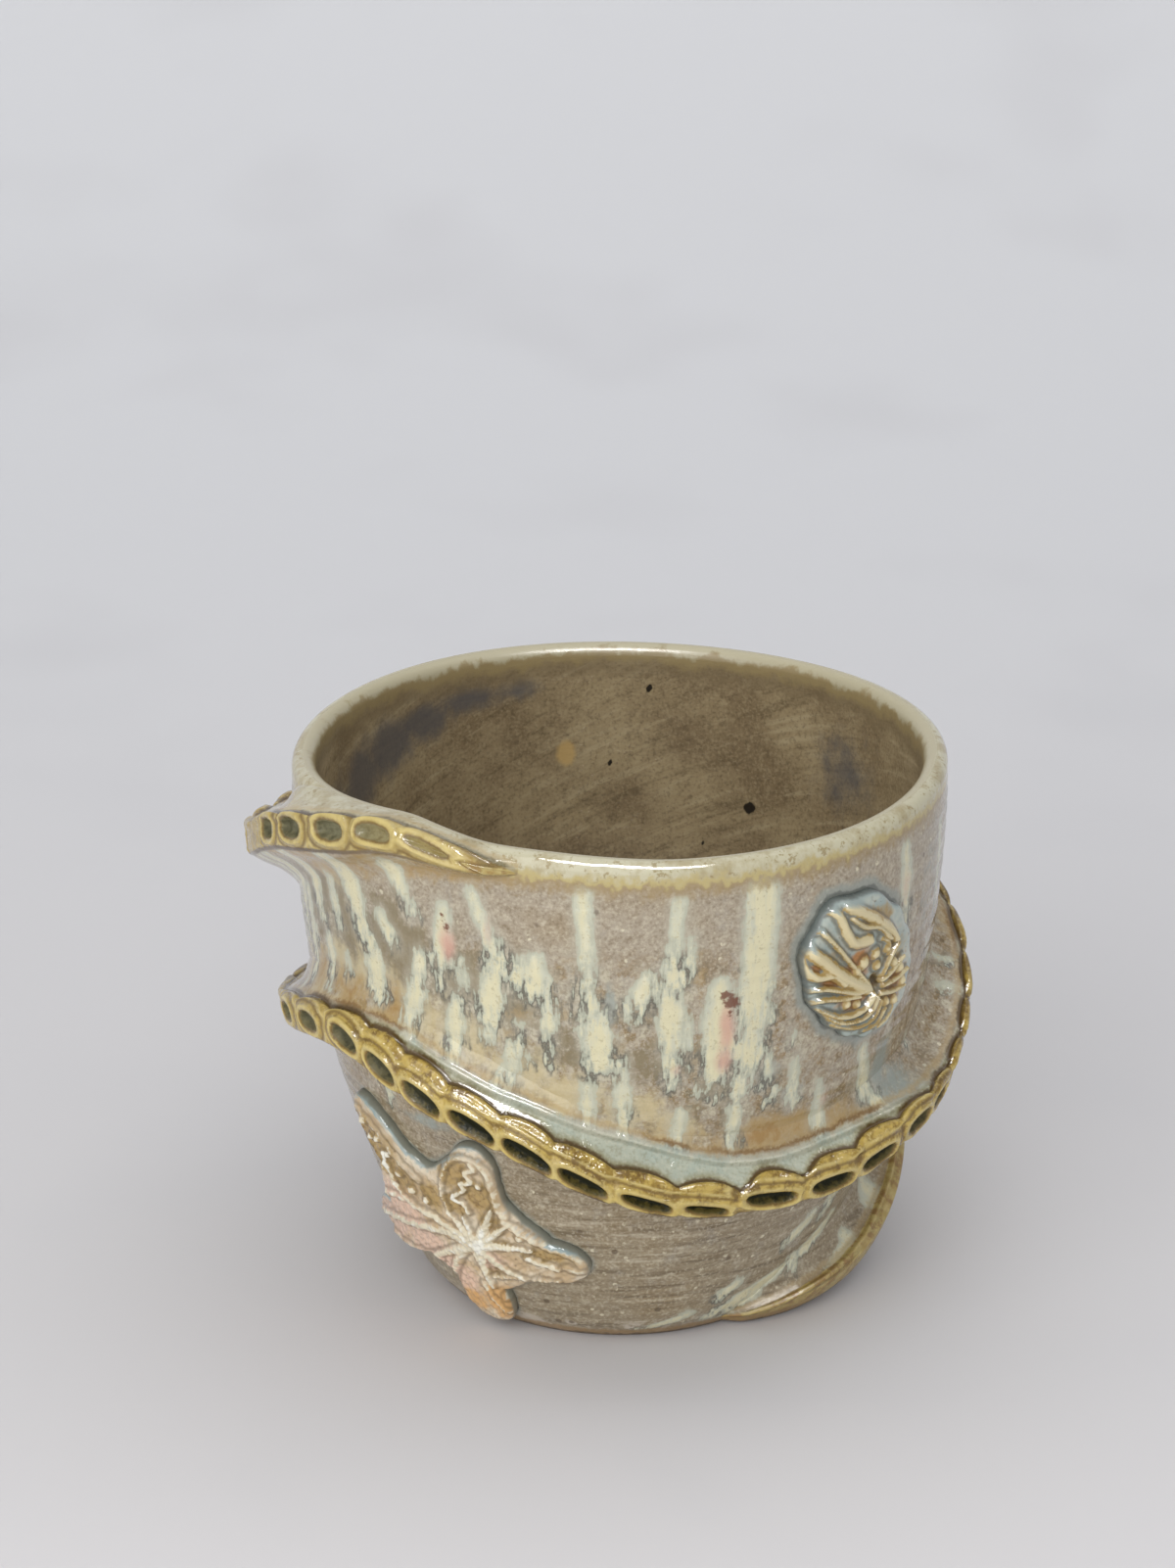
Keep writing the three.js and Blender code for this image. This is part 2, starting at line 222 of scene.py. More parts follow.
# %% The runs of pale glaze
RUNS_IN_FRONT = [
    [194, 69, 55, 1.2, 1.7, 1.1, 2], [199, 63, 51, 1.1, 1.5, 1, 1], [207.5, 61, 52, 0.8, 1.2, 0.8, 2],
    [211, 68, 61, 0.8, 1.1, 0.8, 2], [203, 70, 61, 1.6, 2, 1.2, 3], [216.5, 73, 62.5, 1.8, 2.4, 1.6, 4],
    [229, 74, 68, 1.8, 1.4, 0.9, 4], [225.5, 66.5, 62.6, 1, 1.6, 1, 3], [222.6, 62, 54, 1.3, 2.1, 1.5, 1],
    [239.4, 70, 62, 1.1, 1.5, 1.4, -1], [234.3, 62.5, 50, 1.2, 1.8, 1.4, -3.5],
    [238.2, 63, 58.5, 0.7, 0.9, 0.7, 0], [242, 63, 57, 0.8, 0.9, 0.7, 1],
    [244.6, 73.5, 64, 0.8, 1.2, 1.6, 4.6], [249.2, 66, 53, 1.6, 2, 1.5, -2],
    [252.4, 64.5, 60.3, 0.8, 1.1, 1.2, 0], [255.7, 65, 60, 1, 1.6, 2, 0.5],
    [241, 57.5, 48.5, 1.1, 1.6, 1.3, -0.8], [257.6, 58.5, 51.5, 1.5, 1.2, 0.7, 0.4],
    [251.4, 51.5, 43, 1.5, 1.1, 0.9, -1], [263.9, 74.6, 57, 1.25, 0.95, 1.3, 1.2],
    [265.4, 58.5, 50, 1.5, 2.6, 2.2, 1.2], [262.6, 58, 55.6, 0.8, 1, 0.8, 0],
    [264.4, 47.2, 39, 0.9, 1.1, 1.1, 0], [270.2, 50.8, 39, 0.8, 1.3, 1.2, 0.2],
    [279.8, 73, 62, 1.05, 0.9, 1.5, -1.2], [278.4, 63, 46.4, 1.8, 1.9, 1.1, 0.9],
    [274.6, 63, 58.6, 0.9, 2, 1.2, -1.5], [271.2, 59.4, 57.4, 0.8, 1, 0.8, 0],
    [281.8, 68, 61.5, 0.5, 0.8, 0.5, -0.5], [281.3, 56.5, 48.5, 0.5, 0.7, 0.5, 0.5],
    [281.2, 41.8, 35, 0.8, 1, 0.9, -1], [294.3, 73.4, 50, 2.5, 2.6, 2.3, -0.8],
    [293.3, 52, 44.6, 2.4, 1.9, 1.6, -1.2], [291.5, 45.5, 33, 1.4, 1.1, 0.8, 0.2],
    [287.3, 60.4, 48, 1.7, 2.5, 2.3, -0.3], [284.3, 50, 44.6, 0.45, 0.5, 0.4, 0],
    [286.4, 50, 43.4, 0.5, 0.5, 0.4, 0.4], [296.8, 48, 44.4, 0.9, 1, 0.8, 0],
    [302.6, 47.4, 40.6, 0.7, 1, 1.5, 1], [299.3, 43.4, 42, 0.5, 0.7, 0.5, 0],
    [309.4, 42.6, 30, 0.6, 1.3, 0.7, 2.4], [320.4, 44.5, 35, 1, 1.4, 1.7, 5],
    [327.8, 72.6, 61.5, 1, 1.7, 1, 1.5], [345, 71, 58, 0.8, 1.2, 0.8, 1],
    [331, 14, 9.4, 0.8, 1.9, 1.2, -12], [318, 10, 3.6, 0.8, 2.4, 1.4, -22],
    [320, 17.4, 14, 0.6, 1.5, 0.8, -6], [301, 9.4, 7.4, 0.5, 1.3, 0.6, -4],
    [288, 4.6, 2.2, 0.6, 1.6, 0.8, -12], [352, 14, 8, 0.6, 1.2, 0.6, -3],
    [329, 21, 16.6, 0.5, 1.2, 0.6, -4], [309, 6, 3.4, 0.5, 1.4, 0.6, -8], [338, 9, 6, 0.6, 1.6, 0.8, -10]]


def draw_widths(draw, broad, *spans):
    return [broad * draw.uniform(*span) for span in spans]


def scatter_runs(seed, first, last):
    """Rows of runs for the sides that the photograph doesn't show"""
    draw = random.Random(seed)
    rows, bearing = [], first
    while bearing < last:
        top, fall, broad = draw.uniform(58, 74), draw.uniform(6, 28), draw.uniform(0.6, 1.5)
        widths = draw_widths(draw, broad, (0.6, 1.4), (0.8, 1.6), (0.7, 1.7))
        rows.append([bearing, top, top - fall, *widths, draw.uniform(-3, 3)])
        if draw.random() < 0.7:
            low = top - fall * draw.uniform(0.4, 1)
            aside, drop = draw.uniform(-4, 4), draw.uniform(3, 10)
            widths = draw_widths(draw, 1, (0.5, 1.6), (0.8, 2.4), (0.5, 1.6))
            rows.append([bearing + aside, low, low - drop, *widths, draw.uniform(-3, 3)])
        bearing += draw.uniform(3, 13)
    return rows


def scatter_flecks(seed, count):
    """Small drips among the runs, all round the belly"""
    draw = random.Random(seed)
    rows = []
    for _ in range(count):
        top, bearing, drop = draw.uniform(40, 62), draw.uniform(0, 360), draw.uniform(0.8, 3.6)
        widths = draw_widths(draw, 1, (0.2, 0.5), (0.3, 0.8), (0.2, 0.5))
        rows.append([bearing, top, top - drop, *widths, draw.uniform(-0.6, 0.6)])
    return rows


runs = RUNS_IN_FRONT + scatter_runs(4, 12, 198) + scatter_flecks(8, 70)
print("runs of pale glaze:", len(runs))


def sideways(bearing, at, height):
    """Millimetres along the wall from a bearing"""
    return ((bearing - at + 180) % 360 - 180) * DEGREE * wall_radius(height)


def run_field(bearing, height):
    """How deep a point lies in the nearest run, in millimetres, and how near to its feathered end"""
    depth, ragged = np.full(bearing.shape, OUTSIDE), np.zeros(bearing.shape)
    for at, top, end, wide, middle, foot, drift in runs:
        share = np.clip((top - height) / (top - end), 0, 1)
        half = np.interp(share, [0, 0.5, 1], [wide, middle, foot])
        beyond = np.maximum(np.maximum(height - top, end - height), 0)
        here = half - np.hypot(sideways(bearing, at + drift * share, height), beyond)
        depth = np.maximum(depth, here)
        low = smoothstep(0.35, 0.9, (top - height) / (top - end))
        ragged = np.maximum(ragged, low * smoothstep(-3, 0, here))
    return depth, ragged


# %% [markdown]
# Softer marks are spots: bearing, height, half width and half height in millimetres, and strength.
# Rust bled out of the ridge, a straw wash lies over it, and a mossy tone lies between the runs. The
# rusty spots under the rim ridge also stand for painted shade. Blue shows where glaze pooled, and pink
# and a dark blood red flush the runs.

# %% Stains and flushes
STAINS = {
    "rust_and_shade": [
        [300, 36.5, 8, 2.6, 0.9], [311, 35.5, 6, 2.4, 0.8], [322, 34.5, 4, 2.4, 0.6],
        [226, 53.3, 3.2, 3.6, 1], [214, 53.5, 6, 2.6, 0.8], [203, 52.5, 5, 3, 0.7],
        # From here the first five spots lie under the rim ridge: rusty glaze there, and painted shade under
        # the ridge
        [204, 70, 8, 2.6, 0.75], [216, 73, 7, 2.2, 0.75], [229, 75, 6, 2, 0.75], [240, 75.6, 6, 1.8, 0.7],
        [249, 76, 4, 1.2, 0.6], [281, 38, 4, 2, 0.6], [262, 62, 1.6, 4, 0.3], [283.3, 62.5, 1.4, 4, 0.5],
        [304, 66, 2, 9, 0.35], [284, 53, 2, 5, 0.35], [268, 52, 3, 3, 0.5], [253, 56.5, 3.4, 1, 0.5],
        [262, 57, 3, 1, 0.5], [196, 40, 8, 4, 0.5], [250, 53, 2, 1.6, 0.5], [150, 50, 14, 3, 0.6],
        [110, 54, 16, 3, 0.5], [60, 50, 16, 3, 0.6], [20, 46, 10, 3, 0.6]],
    "wash": [
        [199, 54, 5, 3, 0.8], [206, 50, 4, 3, 0.7], [213, 56.5, 5, 3, 0.8], [222, 57, 5, 3.4, 0.8],
        [232, 54, 5, 3.6, 0.9], [242, 51.5, 5, 3.6, 0.9], [252, 48.5, 5, 3.4, 0.9], [262, 45, 5, 3.4, 0.9],
        [271, 42.5, 5, 3.4, 0.8], [281, 39, 4, 3, 0.8], [170, 56, 14, 5, 0.7], [130, 60, 14, 3, 0.6],
        [90, 58, 14, 3, 0.6], [50, 53, 14, 3, 0.7], [210, 70, 4, 4, 0.5]],
    "moss": [
        [204, 64, 7, 7, 0.9], [216, 62, 7, 8, 0.9], [228, 62, 7, 7, 0.9], [240, 60, 6, 6, 0.8],
        [250, 57, 6, 5, 0.8], [262, 52, 6, 4, 0.7], [275, 50, 6, 5, 0.6], [288, 44, 5, 4, 0.6],
        [20, 58, 16, 8, 0.6], [60, 60, 16, 8, 0.6], [110, 62, 18, 8, 0.6], [160, 62, 16, 8, 0.7]],
    "blue": [
        [328, 40, 2.6, 5, 0.85], [319, 48, 4, 3, 0.6], [230, 35.8, 4.5, 1.2, 0.7],
        [268.3, 58.5, 0.9, 4, 0.8], [296.8, 46, 2.2, 2.6, 0.7], [261.5, 63, 0.8, 4, 0.4],
        [219, 63, 1.6, 1.6, 0.6], [300, 50, 2, 5, 0.35], [255.8, 61, 3, 1.6, 0.5], [120, 60, 3, 6, 0.6],
        [40, 56, 3, 6, 0.6], [302, 42, 3.6, 2.6, 0.5], [330, 36, 7, 3.4, 0.7], [340, 64, 5, 12, 0.4]],
    "pink": [
        [288.6, 54.6, 1.2, 3.4, 0.9], [288.4, 49.3, 1.3, 2, 0.8], [240, 65.3, 1.2, 2.6, 0.9],
        [279.8, 48.7, 0.8, 1.2, 0.6], [247.6, 68, 0.7, 2.8, 0.6], [328.6, 67, 1.6, 4, 0.5],
        [311.5, 39, 0.9, 2.4, 0.5], [70, 55, 1.4, 3, 0.8], [160, 62, 1.3, 3, 0.8]],
    "blood": [
        [288.2, 59.3, 0.9, 0.7, 1], [289.4, 58.1, 1, 0.9, 1], [289.3, 56.6, 0.5, 1.3, 0.7],
        [240.2, 67.4, 0.8, 1.1, 0.7], [239.1, 69, 0.5, 0.5, 0.5]]}


def strongest_spot(spots, aside, up):
    """Strength of the strongest spot. `aside` tells how far a point lies to the side of a spot's place."""
    total = np.zeros(up.shape)
    for place, level, wide, tall, strength in spots:
        away = np.hypot(aside(place) / wide, (up - level) / tall)
        total = np.maximum(total, strength * np.exp(-0.7 * away ** 2))
    return total


def spots_on_wall(bearing, height, spots):
    return strongest_spot(spots, lambda place: sideways(bearing, place, height), height)


# %% [markdown]
# Glaze also gathers round the edge of anything that is stuck on. `halo` measures how far a point of
# the wall lies outside the outline of the nearest relief, so the outlines are described here.

# %% Outlines of the two reliefs
STAR_BEARING, STAR_HEIGHT, STAR_THICKNESS = 234.6, 0.217 * CUP_HEIGHT, 2.2
# The halo is this much narrower round the starfish than round the shell
HALO_OFF_STAR = 1.2
ARM_LENGTH, ARM_ROOT_HALF, ARM_TIP_HALF, TIP_ROUNDING = 26.5, 8.4, 2.7, 1 / 16
# The arms: direction in degrees, and share of the full length
ARMS = [[75, 0.73], [134, 1], [192, 0.9], [270, 0.62], [357, 0.66]]
# How far the clay between the arms reaches, by direction in degrees
BETWEEN_ARMS = [[0, 15], [16, 13.2], [34, 11.8], [51, 12.2], [61, 15.2], [75, 17], [89, 15.6], [98, 13.8],
                [105, 13], [111, 13.2], [117, 15.5], [134, 18], [150, 18], [175, 17], [195, 14], [215, 10],
                [240, 9], [310, 9.2], [325, 9.6], [345, 12.5], [360, 15]]
SHELL_BEARING, SHELL_HEIGHT, SHELL_THICKNESS = 315.8, 0.752 * CUP_HEIGHT, 2.6
SHELL_HALF_LONG, SHELL_HALF_SHORT, SHELL_LEAN, SHELL_HUB = 13, 9.4, -48, (1.4, -3)
SHELL_FLUTES = 12


def arm_edge(direction, towards, share):
    length = share * ARM_LENGTH
    aside = np.abs((direction - towards * DEGREE + math.pi) % (2 * math.pi) - math.pi)
    taper = (ARM_ROOT_HALF - ARM_TIP_HALF) / length
    wedge = ARM_ROOT_HALF / (np.sin(np.minimum(aside, math.pi / 2)) + taper * np.cos(aside))
    tip = length * (1 - TIP_ROUNDING * (aside * length / ARM_TIP_HALF) ** 2)
    return np.where(aside > math.pi / 2, 0, np.minimum(wedge, np.maximum(tip, ARM_ROOT_HALF)))


def star_edge(direction):
    between = read_soft(BETWEEN_ARMS, np.degrees(direction) % 360, 1, 3)
    return np.max([arm_edge(direction, *arm) for arm in ARMS] + [between], axis=0)


def shell_edge(direction):
    def to_oval(x, y):
        turn = -SHELL_LEAN * DEGREE
        return ((x * math.cos(turn) - y * math.sin(turn)) / SHELL_HALF_LONG,
                (x * math.sin(turn) + y * math.cos(turn)) / SHELL_HALF_SHORT)
    start, ray = to_oval(*SHELL_HUB), to_oval(np.cos(direction), np.sin(direction))
    along = start[0] * ray[0] + start[1] * ray[1]
    length = ray[0] ** 2 + ray[1] ** 2
    root = np.sqrt(along ** 2 + length * (1 - start[0] ** 2 - start[1] ** 2))
    return (root - along) / length * (1 + 0.025 * np.cos(SHELL_FLUTES * direction))


def outside_of(edge_at, pole, bearing, height, at, level):
    """Millimetres from a relief's outline, in its own plan"""
    across = sideways(bearing, at, height) - pole[0]
    up = along_wall(height) - along_wall(level) - pole[1]
    return np.hypot(across, up) - edge_at(np.arctan2(up, across))


def glaze_marks(points):
    """The marks that every outer piece carries, read at its own points, so they run on across joins"""
    x, y, z = points.T
    bearing = np.degrees(np.arctan2(y, x)) % 360
    pull = RIM_PULL * read_soft(PULL, bearing, 1, 3)
    depth, ragged = run_field(bearing, z)
    near_star = outside_of(star_edge, (0, 0), bearing, z, STAR_BEARING, STAR_HEIGHT)
    near_shell = outside_of(shell_edge, SHELL_HUB, bearing, z, SHELL_BEARING, SHELL_HEIGHT)
    marks = {name: spots_on_wall(bearing, z, spots) for name, spots in STAINS.items()}
    return {**marks, "runs": depth, "ragged": ragged, "below_rim": CUP_HEIGHT + pull - z,
            "halo": np.minimum(near_shell, near_star + HALO_OFF_STAR)}


# What the marks say on a piece that doesn't carry them
NO_MARKS = {"runs": OUTSIDE, "ragged": 0, "below_rim": 40, **dict.fromkeys(STAINS, 0), "halo": 9,
            "gold": OUTSIDE, "facet": OUTSIDE, "pit": 1, "pool": OUTSIDE, "lining": 0, "raw": 0,
            "smear": 0, "spot": 0, "hole": 0}


def write_marks(mesh, marks):
    """A mark is one number for each point, or one for all of them"""
    for name, values in marks.items():
        layer = mesh.attributes.new(name, "FLOAT", "POINT")
        layer.data.foreach_set("value", np.full(len(mesh.vertices), values, np.float32))


# %% [markdown]
# ## Finishing a mesh
# `finish_piece` welds and closes what is open, turns the faces outwards, gives the piece its material,
# hangs it on the frame's root body, and hides the CAD node it stands for.

# %% Hand a piece to the frame
def finish_piece(name, mesh, node, material):
    bm = bmesh.new()
    bm.from_mesh(mesh)
    bmesh.ops.remove_doubles(bm, verts=bm.verts, dist=WELD * MM)
    bmesh.ops.holes_fill(bm, edges=bm.edges, sides=0)
    bmesh.ops.recalc_face_normals(bm, faces=bm.faces)
    for face in bm.faces:
        face.smooth = True
    bm.to_mesh(mesh)
    open_edges = sum(not edge.is_manifold for edge in bm.edges)
    bm.free()
    piece = bpy.data.objects.new(name, mesh)
    bpy.context.collection.objects.link(piece)
    mesh.materials.append(material)
    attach(piece, "root")
    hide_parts(node)
    triangles = sum(len(polygon.vertices) - 2 for polygon in mesh.polygons)
    print(f"{name}: {triangles} triangles, {open_edges} open edges")


# %% [markdown]
# ## Mixing glazes with nodes
# A glaze here is a stack of coats. Each coat has a colour and a share between 0 and 1, and the share
# comes from a mark on the mesh, frayed by noise. Small functions add a node or two each, so the
# recipe further down reads like a recipe. In it a name in quotes stands for a grain of noise, for
# something kept from an earlier step, or else for a mark on the mesh. All noise is in millimetres on
# Object coordinates. The Mapping nodes are of the Texture type, which turns a pattern before it
# stretches it.

# %% Node helpers
BUMP_STRENGTH, GLAZE_IOR = 0.5, 1.5


def colour(red, green, blue):
    """A colour as seen on a screen, 0 to 255, as Blender's linear one"""
    linear = [v / 255 / 12.92 if v <= 10 else ((v / 255 + 0.055) / 1.055) ** 2.4 for v in (red, green, blue)]
    return (*linear, 1)


class Palette:
    """Adds nodes to one material, and joins them"""

    def __init__(self, name):
        self.material = bpy.data.materials.new(name)
        self.material.use_nodes = True
        self.tree = self.material.node_tree
        self.shader = self.tree.nodes["Principled BSDF"]
        self.place = self.tree.nodes.new("ShaderNodeTexCoord").outputs["Object"]
        self.kept = {}

    def keep(self, name, value):
        self.kept[name] = value
        return value

    def find(self, source):
        """What a name stands for: something kept, or else a mark on the mesh. Anything but a name stays."""
        if not isinstance(source, str):
            return source
        if source not in self.kept:
            self.keep(source, self.put("ShaderNodeAttribute", {}, "Fac", attribute_name=source))
        return self.kept[source]

    def put(self, kind, inputs, output=0, **settings):
        """Adds one node. An input is a value, another node's output, or a name."""
        node = self.tree.nodes.new(kind)
        for key, value in settings.items():
            setattr(node, key, value)
        for key, value in inputs.items():
            value = self.find(value)
            if isinstance(value, bpy.types.NodeSocket):
                self.tree.links.new(value, node.inputs[key])
            else:
                node.inputs[key].default_value = value
        return node.outputs[output]

    def sum(self, one, other, factor=1.0):
        """one + other x factor"""
        return self.put("ShaderNodeMath", {0: other, 1: factor, 2: one}, operation="MULTIPLY_ADD")

    def plus(self, value, **others):
        """A value plus others by name, each times its factor"""
        for name, factor in others.items():
            value = self.sum(value, name, factor)
        return value

    def times(self, one, other):
        return self.put("ShaderNodeMath", {0: one, 1: other}, operation="MULTIPLY")

    def step(self, value, low, high, bottom=0.0, top=1.0):
        """A soft step: bottom under low, top over high"""
        return self.put("ShaderNodeMapRange", {0: value, 1: low, 2: high, 3: bottom, 4: top},
                        interpolation_type="SMOOTHSTEP")

    def band(self, value, middle, half):
        """1 on a value, and 0 away from it"""
        away = self.put("ShaderNodeMath", {0: self.sum(value, -middle), 1: 0.0}, operation="ABSOLUTE")
        return self.step(away, half, 0.0)

    def stretched(self, size, stretch, turn=(0, 0, 0), seed=0.0):
        grain = [MM * size * s for s in stretch]
        return self.put("ShaderNodeMapping", {"Vector": self.place, "Scale": grain, "Rotation": turn,
                                              "Location": (seed, seed * 0.7, seed * 1.3)},
                        vector_type="TEXTURE")

    def noise(self, size, stretch=(1, 1, 1), detail=2.0, roughness=0.5, turn=(0, 0, 0), seed=0.0):
        """Cloudy noise between about -0.5 and 0.5, with grains of a size in millimetres"""
        cloud = self.put("ShaderNodeTexNoise", {"Vector": self.stretched(size, stretch, turn, seed),
                                                "Scale": 1.0, "Detail": detail, "Roughness": roughness})
        return self.sum(cloud, -0.5)

    def lobes(self, size, stretch=(1, 1, 1), seed=0.0):
        """0 in the middle of each small cell, and about 0.5 where cells meet"""
        return self.put("ShaderNodeTexVoronoi", {"Vector": self.stretched(size, stretch, seed=seed),
                                                 "Scale": 1.0}, "Distance")

    def paint(self, under, over, share):
        """Lays one colour over another. A colour is a paint, or red, green and blue from 0 to 255."""
        under, over = (colour(*tint) if isinstance(tint, tuple) else tint for tint in (under, over))
        return self.put("ShaderNodeMix", {0: share, 6: under, 7: over}, 2, data_type="RGBA")

    def coat(self, under, over, value, low, high, top=1.0, within=None):
        """Lays a colour on as a value goes from low to high, up to a share of top, within another share"""
        share = self.step(value, low, high, 0.0, top)
        return self.paint(under, over, share if within is None else self.times(share, within))

    def stripe(self, under, over, value, middle, half, top):
        """Lays a colour along the line where a value passes the middle"""
        return self.paint(under, over, self.times(self.band(value, middle, half), top))

    def finish(self, paint, height, roughness, gloss=None):
        sizes = {"Height": height, "Distance": MM, "Strength": BUMP_STRENGTH}
        bump = self.put("ShaderNodeBump", sizes, "Normal")
        ends = {"Base Color": paint, "Roughness": roughness, "Normal": bump, "Specular IOR Level": gloss}
        for key, value in ends.items():
            if value is not None:
                self.tree.links.new(value, self.shader.inputs[key])
        self.shader.inputs["IOR"].default_value = GLAZE_IOR
        return self.material


# %% [markdown]
# ## The recipe of the cup's glaze
# Each cell below is one step of the recipe, from the taupe ground up. A step takes the palette and
# the paint so far, and returns the new paint.

# %% Grains that the steps share
def mix_grains(mix):
    mix.kept = {
        "level": mix.put("ShaderNodeSeparateXYZ", {0: mix.place}, "Z"),
        "cloud": mix.noise(11, detail=3),
        "patch": mix.noise(4.2, (1, 1, 1.3), 4, 0.65, seed=0.05),
        "fray": mix.noise(2.2, (1, 1, 1.5), 3, 0.6),
        "fingers": mix.noise(0.75, (1, 1, 5), 2, 0.6),
        "streaks": mix.noise(1.3, (1, 1, 7), 3, 0.6, seed=0.07),
        "speck": mix.noise(0.45, detail=1, seed=0.04),
        "grit": mix.noise(1.3, detail=3, roughness=0.65, seed=0.09),
        "mottle": mix.noise(2.6, (1, 1, 1.2), 4, 0.7, seed=0.11),
        "lines": mix.noise(0.8, (12, 12, 1), 3, 0.6),
        "lobes": mix.lobes(1.1, (1, 1, 1.5)),
    }


def sprinkle(mix, paint, dark, pale, share):
    """Fine dark and pale grains over a paint"""
    for grain in ("grit", "speck"):
        paint = mix.coat(paint, dark, grain, 0.03, 0.2, share)
        paint = mix.coat(paint, pale, grain, -0.03, -0.2, share)
    return paint


# %% The taupe ground, with throwing lines, a mottled belly, pale dabs at the foot, dots and iron specks
def lay_ground(mix):
    paint = mix.coat((150, 136, 111), (165, 153, 133), "level", 0.026, 0.05)
    paint = mix.coat(paint, (152, 132, 98), "cloud", 0.0, 0.3, 0.6)
    paint = mix.coat(paint, (160, 154, 142), "patch", -0.02, -0.22, 0.55)
    low = mix.step("level", 0.046, 0.03)
    paint = mix.coat(paint, (106, 92, 70), "lines", 0.0, 0.2, 0.8, low)
    paint = mix.coat(paint, (188, 177, 154), "lines", -0.04, -0.22, 0.7, low)
    belly = mix.times(mix.step("level", 0.032, 0.042), mix.step("level", 0.07, 0.06))
    belly = mix.times(belly, mix.step(mix.plus("ragged", cloud=1.2), -0.2, 0.5, 0.6))
    paint = mix.coat(paint, (142, 117, 76), "mottle", -0.02, 0.05, 0.95, belly)
    paint = mix.coat(paint, (110, 98, 76), "mottle", 0.05, 0.12, 0.9, belly)
    paint = mix.coat(paint, (194, 186, 160), "mottle", -0.05, -0.14, 0.8, belly)
    paint = sprinkle(mix, paint, (116, 98, 70), (200, 190, 166), 0.4)
    paint = mix.coat(paint, (206, 196, 180), "patch", 0.02, 0.1, 0.8, mix.step("level", 0.005, 0.003))
    dots = mix.step(mix.lobes(2.1, seed=0.02), 0.2, 0.12)
    paint = mix.coat(paint, (208, 199, 172), "grit", -0.05, 0.1, 1.0, dots)
    return mix.coat(paint, (88, 70, 48), mix.lobes(4.6, seed=0.03), 0.13, 0.07, 0.75)


# %% The mossy tone and the straw wash, rust with painted shade under the rim ridge, blue, and the halo round the reliefs
def lay_stains(mix, paint):
    paint = mix.coat(paint, (134, 122, 94), mix.plus("moss", mottle=1.8, grit=0.6), 0.3, 0.7, 0.85)
    wash = mix.plus("wash", patch=1.2, grit=0.8, streaks=0.5)
    paint = mix.coat(paint, (204, 189, 147), wash, 0.2, 0.8, 0.8)
    # Rusty stains, which under the rim ridge also paint the ridge's shade
    rust_and_shade = mix.plus("rust_and_shade", patch=0.9, grit=0.8)
    paint = mix.coat(paint, (172, 146, 98), rust_and_shade, 0.2, 0.75, 0.9)
    paint = mix.coat(paint, (156, 122, 70), mix.plus(rust_and_shade, mottle=2.0, streaks=1.0), 0.65, 1.15, 0.85)
    paint = mix.coat(paint, (150, 158, 150), mix.plus("blue", fray=0.7, grit=0.5), 0.25, 0.75, 0.85)
    halo = mix.plus("halo", fray=1.6)
    paint = mix.coat(paint, (148, 154, 146), halo, 2.1, 0.7, 0.8)
    return mix.coat(paint, (98, 102, 96), halo, 0.5, 0.1, 0.7)


# %% The pale runs: a thin veil, a dark fringe, a bluish skirt, the body of the run, and its red flushes
def lay_runs(mix, paint):
    paint = mix.coat(paint, (186, 182, 164), mix.plus("runs", patch=3.0, streaks=2.0), -1.8, 0.4, 0.4)
    torn = mix.times("ragged", mix.plus(0.1, lobes=-1.1, fingers=3.4, mottle=2.4))
    edge = mix.plus(mix.sum(mix.plus("runs", fray=1.2), torn), fingers=1.3, streaks=1.0, speck=0.6)
    edge = mix.sum(mix.sum(edge, -0.2), mix.step("level", 0.03, 0.02), 0.5)
    fringe = mix.times(mix.step(edge, -1.5, -0.5), mix.step("ragged", 0.2, 0.8, 0.0, 0.9))
    fringe = mix.times(fringe, mix.step("patch", -0.12, 0.08, 0.15))
    paint = mix.paint(paint, (92, 90, 80), fringe)
    paint = mix.coat(paint, (188, 191, 170), edge, -0.6, -0.15, 0.75)
    cream = mix.coat((203, 202, 178), (215, 208, 172), mix.plus(edge, patch=2.0), 0.0, 1.3)
    cream = mix.coat(cream, (190, 192, 176), "streaks", 0.02, 0.2, 0.7)
    cream = mix.coat(cream, (225, 218, 186), "streaks", -0.04, -0.2, 0.6)
    cream = mix.coat(cream, (178, 168, 134), mix.plus("speck", grit=0.6), 0.08, 0.24, 0.55)
    thick = mix.step(mix.plus(edge, mottle=4.0, grit=1.2), -0.9, 0.9, 0.4)
    paint = mix.paint(paint, cream, mix.times(mix.keep("cream_share", mix.step(edge, -0.2, 0.35)), thick))
    paint = mix.coat(paint, (205, 160, 140), mix.plus("pink", fray=0.6), 0.2, 0.9, 0.85)
    return mix.coat(paint, (112, 66, 46), mix.plus("blood", fray=0.9, speck=0.6), 0.35, 0.65, 0.9)


# %% The pale rim with its lobed, ochre edge
def lay_rim(mix, paint):
    rim = mix.plus(3.7, below_rim=-1.0, fray=1.7, lobes=-1.5, speck=1.0)
    paint = mix.coat(paint, (156, 134, 92), mix.plus(rim, patch=2.0), -2.6, -0.3, 0.75)
    paint = mix.coat(paint, (186, 170, 116), rim, -0.6, 0.3, 0.95)
    pale = mix.coat((198, 193, 166), (172, 160, 126), "patch", -0.08, 0.14)
    pale = mix.coat(pale, (146, 128, 86), mix.plus("grit", speck=0.5), 0.05, 0.22, 0.8)
    return mix.coat(paint, pale, mix.plus(rim, grit=1.5), 0.1, 1.5, 0.9)


